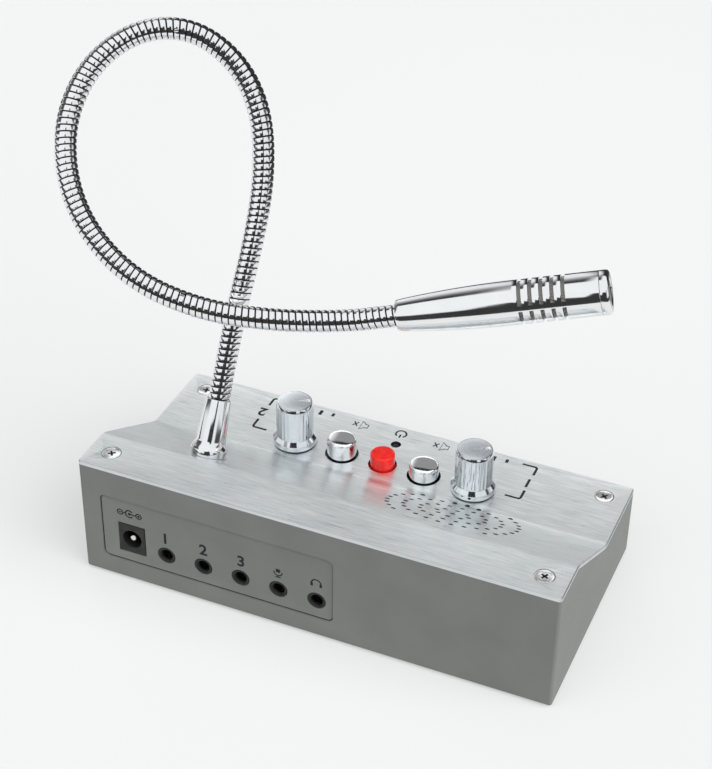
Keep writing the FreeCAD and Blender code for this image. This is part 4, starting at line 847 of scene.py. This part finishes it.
class Print:
    # gathers strokes and numerals drawn flat, then lays them on a face of the housing

    def __init__(self):
        self.bm = bmesh.new()

    def take(self, obj, matrix):
        addMesh(self.bm, evaluatedMesh(obj), matrix)
        bpy.data.objects.remove(obj)

    def stroke(self, at, points, width=printing["stroke"], closed=False):
        data = bpy.data.curves.new("stroke", "CURVE")
        data.dimensions, data.use_fill_caps = "3D", True
        data.bevel_depth, data.bevel_resolution = width / 2 * mm, 2
        spline = data.splines.new("POLY")
        spline.points.add(len(points) - 1)
        for point, (u, v) in zip(spline.points, points):
            point.co = (u * mm, v * mm, 0, 1)
        spline.use_cyclic_u = closed
        flatten = Matrix.Diagonal((1, 1, printing["ink"] * 2 / width, 1))
        self.take(newObject("stroke", data), at @ flatten)

    def numeral(self, at, text, size):
        data = bpy.data.curves.new("numeral", "FONT")
        data.body, data.align_x, data.align_y = text, "CENTER", "CENTER"
        data.size = size * printing["fontScale"] * mm
        data.extrude, data.offset = printing["ink"] * mm, printing["bold"] * mm
        self.take(newObject("numeral", data), at)

    def lay(self, label):
        bmesh.ops.remove_doubles(self.bm, verts=self.bm.verts, dist=0.001 * mm)
        bmesh.ops.recalc_face_normals(self.bm, faces=self.bm.faces)
        place(meshObject(label, self.bm, 40), "housing", "plate" if "deck" in label else "housing", [ink])


def arc(u, v, radius, start, end, steps=14):
    turns = [math.radians(start + (end - start) * step / steps) for step in range(steps + 1)]
    return [(u + radius * math.cos(turn), v + radius * math.sin(turn)) for turn in turns]


def onFront(x, z):
    return towardSockets(x, z)


def onDeck(x, y):
    # read from the operator's side
    return Matrix.Translation(Vector((x, y, deck["low"])) * mm) @ Matrix.Rotation(math.pi, 4, "Z")


socketPrint = {"polarity": (-60.9, 26.9), "numbers": ((-48.8, 21.0), (-35.7, 21.0), (-22.9, 21.0)),
               "numeral": 4.1, "microphone": (-10.5, 21.3), "headphones": (2.1, 21.2), "recessShadeLine": 0.34}


def makeSocketPrint():
    sheet = Print()
    at = onFront(*socketPrint["polarity"])
    # polarity: centre positive
    sheet.stroke(at, arc(0, 0, 1.35, 40, 320), 0.5)
    sheet.stroke(at, arc(0, 0, 0.28, 0, 330, 8), 0.56, True)
    sheet.stroke(at, [(0.3, 0), (2.25, 0)], 0.45)
    sheet.stroke(at, [(-1.4, 0), (-2.25, 0)], 0.45)
    for side in (-1, 1):
        sheet.stroke(at, arc(3.2 * side, 0, 0.95, 0, 345), 0.42, True)
        sheet.stroke(at, [(3.2 * side - 0.5, 0), (3.2 * side + 0.5, 0)], 0.38)
    sheet.stroke(at, [(3.2, -0.5), (3.2, 0.5)], 0.38)
    for number, spot in enumerate(socketPrint["numbers"], start=1):
        sheet.numeral(onFront(*spot), str(number), socketPrint["numeral"])
    # a microphone, and a pair of headphones
    at = onFront(*socketPrint["microphone"])
    sheet.stroke(at, [(0, -0.1), (0, 1.2)], 1.5)
    sheet.stroke(at, arc(0, 0.1, 1.4, 180, 360), 0.42)
    sheet.stroke(at, [(0, -1.3), (0, -2.0)], 0.45)
    sheet.stroke(at, [(-0.9, -2.0), (0.9, -2.0)], 0.42)
    at = onFront(*socketPrint["headphones"])
    sheet.stroke(at, arc(0, 0, 1.55, 0, 180), 0.5)
    for side in (-1, 1):
        sheet.stroke(at, [(1.5 * side, 0.1), (1.5 * side, -1.1)], 0.85)
    # painted shade: a thin dark ink line round the foot of the recess, where the shade of its edge falls
    wide, tall, corner = (sockets[key] for key in ("panelWide", "panelTall", "panelCorner"))
    line = []
    for u, v, start in ((1, 1, 0), (-1, 1, 90), (-1, -1, 180), (1, -1, 270)):
        line += arc(u * (wide / 2 - corner), v * (tall / 2 - corner), corner, start, start + 90, 5)
    sheet.stroke(onFront(sockets["panelX"], sockets["panelZ"]), line, socketPrint["recessShadeLine"], True)
    sheet.lay("socketPrint")


# a row of bars has its first x and its step; a bracket has its x, the way inwards and its far end
deckPrint = {"power": (-0.5, 35.3), "muteX": 14.2, "muteY": 34.5, "speaker": 0.42, "cross": 0.46,
             "bars": ((-25.1, -4.27), (36.0, -4.3)), "barEnd": 37.2, "tall": (2.7, 0.9), "wide": (1.0, 0.12),
             "brackets": ((-46.8, 1, 36.3), (46.1, -1, 36.5)), "bracket": 0.85, "bracketNear": (19.3, 23.8),
             "bracketArm": 4.2, "numbers": (("2", -47.3, 28.1), ("1", 45.8, 28.0)), "numeral": 4.2}


def makeDeckPrint():
    sheet = Print()
    d = deckPrint
    # power: a ring, open at its top
    at = onDeck(*d["power"])
    sheet.stroke(at, arc(0, 0, 1.75, 125, 415, 24), 0.62)
    sheet.stroke(at, [(0, 0.5), (0, 2.1)], 0.62)
    # a loudspeaker struck out, over each mute key
    for sign in (-1, 1):
        at = onDeck(d["muteX"] * sign, d["muteY"])
        sheet.stroke(at, [(-2.2, -0.9), (-1.2, -0.9), (0.3, -2.2), (0.3, 2.2), (-1.2, 0.9), (-2.2, 0.9)],
                     d["speaker"], True)
        for rise in (1.1, -1.1):
            sheet.stroke(at, [(1.35, -rise), (2.95, rise)], d["cross"])
    # volume: bars that grow with the turn of each knob
    for bar in d["bars"]:
        for number in range(4):
            x, tall, wide = (first + step * number for first, step in (bar, d["tall"], d["wide"]))
            end = (tall - wide) / 2
            sheet.stroke(onDeck(x, d["barEnd"] - tall / 2), [(0, -end), (0, end)], wide)
    # brackets round the number of each channel, open towards its knob
    for x, inward, far in d["brackets"]:
        for corner, end in (d["bracketNear"], (far, far - d["bracketArm"])):
            sheet.stroke(onDeck(0, 0), [(-(x + 5 * inward), -corner), (-(x + 0.5 * inward), -corner),
                                        (-x, -(corner + (end - corner) * 0.12)), (-x, -end)], d["bracket"])
    for number, x, y in d["numbers"]:
        sheet.numeral(onDeck(x, y), number, d["numeral"])
    sheet.lay("deckPrint")


makeSocketPrint()
makeDeckPrint()
print("printing done")


# what is inside

def dressNodes():
    boardGreen = plainFinish("boardGreen", (0.010, 0.085, 0.035), (0.016, 0.12, 0.05), (0.3, 0.42), 0.5)
    brass = plainFinish("brass", (0.55, 0.40, 0.16), (0.66, 0.48, 0.20), (0.25, 0.38), 0.4, {"Metallic": 1.0})
    chipBlack = plainFinish("chipBlack", (0.015, 0.015, 0.016), (0.026, 0.026, 0.027), (0.5, 0.65), 0.2)
    rawAluminium = plainFinish("rawAluminium", (0.62, 0.63, 0.64), (0.72, 0.73, 0.74), (0.32, 0.45), 0.4,
                               {"Metallic": 1.0}, (1, 1, 20))
    sleeveBlack = plainFinish("capacitorSleeve", (0.014, 0.016, 0.03), (0.022, 0.024, 0.04), (0.25, 0.35),
                              0.4)
    cream = plainFinish("creamPlastic", (0.62, 0.60, 0.53), (0.70, 0.68, 0.60), (0.4, 0.5), 0.4)
    zinc = plainFinish("zincPlate", (0.55, 0.55, 0.52), (0.68, 0.68, 0.64), (0.25, 0.4), 0.8,
                       {"Metallic": 1.0})
    foam = plainFinish("foamRubber", (0.02, 0.02, 0.02), (0.045, 0.045, 0.045), (0.85, 1.0), 0.25,
                       strength=0.6)
    paper = plainFinish("conePaper", (0.020, 0.019, 0.018), (0.042, 0.040, 0.037), (0.8, 0.95), 0.3,
                        strength=0.5)
    ferrite = plainFinish("ferrite", (0.045, 0.043, 0.042), (0.075, 0.072, 0.07), (0.5, 0.7), 0.3)
    wire = plainFinish("wireSleeve", (0.02, 0.02, 0.022), (0.035, 0.035, 0.037), (0.4, 0.55), 0.4)
    finishes = {boardGreen: ["main_board", "control_board"],
                brass: ["main_board_posts", "control_board_posts"],
                zinc: ["main_board_screws", "control_board_screws", "pot_body_left", "pot_body_right",
                       "speaker_basket"],
                chipBlack: ["amplifier_chip", "switch_body_left", "switch_body_power", "switch_body_right"],
                rawAluminium: ["heat_sink", "mic_capsule"],
                sleeveBlack: ["capacitors"],
                cream: ["switch_plunger_left", "switch_plunger_power", "switch_plunger_right"],
                nickel: ["pot_shaft_left", "pot_shaft_right", "neck_washer", "neck_nut"],
                cloth: ["grille_cloth"],
                foam: ["speaker_gasket", "mic_holder"],
                paper: ["speaker_cone"],
                ferrite: ["speaker_magnet"],
                wire: ["inner_leads", "neck_lead_stem", "neck_lead_crown", "neck_lead_run"]}
    for made, names in finishes.items():
        for name in names:
            nodes[name].data.materials.clear()
            nodes[name].data.materials.append(made)


dressNodes()
print("inside dressed")


# table, light and surroundings

studio = {"tableFront": -0.33, "tableBack": 4.0, "tableSide": 0.9, "shade": 0.36, "lift": 0.44, "glow": 0.43,
          "white": 0.905, "paleTo": 0.17, "darkFrom": 0.26}


def makeTable():
    bm = bmesh.new()
    bmesh.ops.create_grid(bm, x_segments=1, y_segments=1, size=0.5)
    depth = studio["tableBack"] - studio["tableFront"]
    bmesh.ops.scale(bm, verts=bm.verts, vec=(studio["tableSide"] * 2, depth, 1))
    bmesh.ops.translate(bm, verts=bm.verts, vec=(0, studio["tableFront"] + depth / 2, 0))
    obj = meshObject("table", bm)
    made = newMaterial("tableTop", {"Roughness": 0.75, "Specular IOR Level": 0.1,
                                    "Emission Color": (1, 1, 1, 1)})
    cloud = grain(made, 400)
    shade = studio["shade"]
    pale = mixed(made, between(made, cloud, 0, 1), [shade * 0.99] * 3, [shade * 1.01] * 3)
    # the table is lifted to white where it is seen, and a little less in what metal shows of it. Far
    # behind the unit metal shows a dark room instead.
    path = addNode(made, "LightPath").outputs
    where = addNode(made, "SeparateXYZ", {0: addNode(made, "TexCoord").outputs["Object"]}).outputs["Y"]
    behind = between(made, where, 0, 1, studio["paleTo"], studio["darkFrom"])
    dark = addNode(made, "Math", {0: path["Is Glossy Ray"], 1: behind}, operation="MULTIPLY").outputs[0]
    plug(made, mixed(made, dark, pale, (0.03, 0.03, 0.03)), "Base Color")
    near = addNode(made, "Math", {0: path["Is Glossy Ray"], 1: dark}, operation="SUBTRACT").outputs[0]
    shown = addNode(made, "Math", {0: near, 1: studio["glow"]}, operation="MULTIPLY").outputs[0]
    lift = addNode(made, "Math", {0: path["Is Camera Ray"], 1: studio["lift"], 2: shown},
                   operation="MULTIPLY_ADD")
    plug(made, lift.outputs[0], "Emission Strength")
    obj.data.materials.append(made)


# brightness round the room by the angle up from the front horizon, over the top and down to the back
# horizon, for directions that lean from left to right. A dark strip stands in front and to the right of it,
# given in degrees.
room = {"farLeft": [(0, 0.05), (12, 0.05), (16, 0.9), (33, 0.9), (40, 0.08), (110, 0.12), (150, 0.5),
                    (180, 0.9)],
        "left": [(0, 0.07), (9, 0.07), (14, 1.0), (91, 1.0), (95, 0.04), (110, 0.08), (128, 0.42),
                 (142, 0.85), (180, 1.0)],
        "middle": [(0, 0.045), (14, 0.045), (18, 1.0), (120, 1.0), (124, 0.035), (180, 0.035)],
        "right": [(0, 0.045), (8, 0.045), (13, 0.9), (116, 1.0), (122, 0.035), (180, 0.035)],
        "farRight": [(0, 0.05), (28, 0.06), (40, 0.9), (82, 0.9), (95, 0.08), (130, 0.10), (150, 0.6),
                     (180, 1.0)],
        "leans": {"left": (-0.74, -0.64), "middle": (-0.48, -0.37), "right": (0.20, 0.34),
                  "farRight": (0.74, 0.82)},
        "tint": (0.97, 0.99, 1.0)}
strip = {"left": -4, "leftAbove": 20, "right": 34, "step": 31.5, "top": 45, "soft": 1.5, "level": 0.04}


def makeRoom():
    world = bpy.data.worlds.new("room")
    scene.world = world
    world.use_nodes = True

    def maths(operation, *values):
        return addNode(world, "Math", dict(enumerate(values)), operation=operation).outputs[0]

    def above(value, edge):
        return between(world, maths("SUBTRACT", value, edge), 0, 1, 0, math.radians(strip["soft"]))

    way = addNode(world, "TexCoord").outputs["Generated"]
    parts = addNode(world, "SeparateXYZ", {0: way}).outputs
    front = maths("MULTIPLY", parts["Y"], -1.0)
    share = maths("DIVIDE", maths("ARCTAN2", parts["Z"], front), math.pi)
    shown = None
    for side in ("farLeft", "left", "middle", "right", "farRight"):
        ramp = addNode(world, "ValToRGB", {0: share})
        stops = ramp.color_ramp.elements
        for index, (degrees, level) in enumerate(room[side]):
            stop = stops[index] if index < 2 else stops.new(degrees / 180)
            stop.position = degrees / 180
            stop.color = (*(level * t for t in room["tint"]), 1)
        if shown is None:
            shown = ramp.outputs[0]
        else:
            lean = between(world, parts["X"], 0, 1, *room["leans"][side])
            shown = mixed(world, lean, shown, ramp.outputs[0])
    turn = maths("ARCTAN2", parts["X"], front)
    height = maths("ARCSINE", parts["Z"])
    leftEdge = between(world, above(height, math.radians(strip["step"])), math.radians(strip["left"]),
                       math.radians(strip["leftAbove"]), 0, 1)
    inside = above(turn, leftEdge)
    for edge, angle in (("right", turn), ("top", height)):
        below = maths("SUBTRACT", math.radians(strip[edge]), angle)
        inside = maths("MULTIPLY", inside, above(below, 0.0))
    shown = mixed(world, inside, shown, [strip["level"]] * 3)
    shown = mixed(world, addNode(world, "LightPath").outputs["Is Camera Ray"], shown, [studio["white"]] * 3)
    world.node_tree.links.new(shown, world.node_tree.nodes["Background"].inputs["Color"])


lamps = {"sideSun": {"from": (1.0, -0.25, 0.75), "strength": 2.7, "angle": 60},
         "frontSun": {"from": (-0.2, -1.0, 0.9), "strength": 0.78, "angle": 70}}
# pale boards over the unit and the back of the table, which only reflections show
boards = {"height": 85, "left": -150, "right": 80, "rows": [(0, 50, 0.36), (62, 135, 0.22), (135, 420, 1.08)]}


def makeBoards():
    wide = boards["right"] - boards["left"]
    for number, (start, end, bright) in enumerate(boards["rows"]):
        data = bpy.data.lights.new("board%d" % number, "AREA")
        data.shape, data.size, data.size_y = "RECTANGLE", wide * mm, (end - start) * mm
        # it looks as bright as its power over four times its area
        data.energy = bright * 4 * data.size * data.size_y
        obj = newObject("board%d" % number, data)
        obj.location = Vector((boards["left"] + wide / 2, (start + end) / 2, boards["height"])) * mm
        obj.visible_camera = obj.visible_diffuse = obj.visible_transmission = False


def makeLamps():
    for name, lamp in lamps.items():
        data = bpy.data.lights.new(name, "SUN")
        data.energy, data.angle = lamp["strength"], math.radians(lamp["angle"])
        obj = newObject(name, data)
        obj.matrix_world = Vector(lamp["from"]).to_track_quat("Z", "Y").to_matrix().to_4x4()
        obj.visible_glossy = False


makeTable()
makeRoom()
makeLamps()
makeBoards()
scene.view_settings.view_transform = "Standard"
print("studio lit")
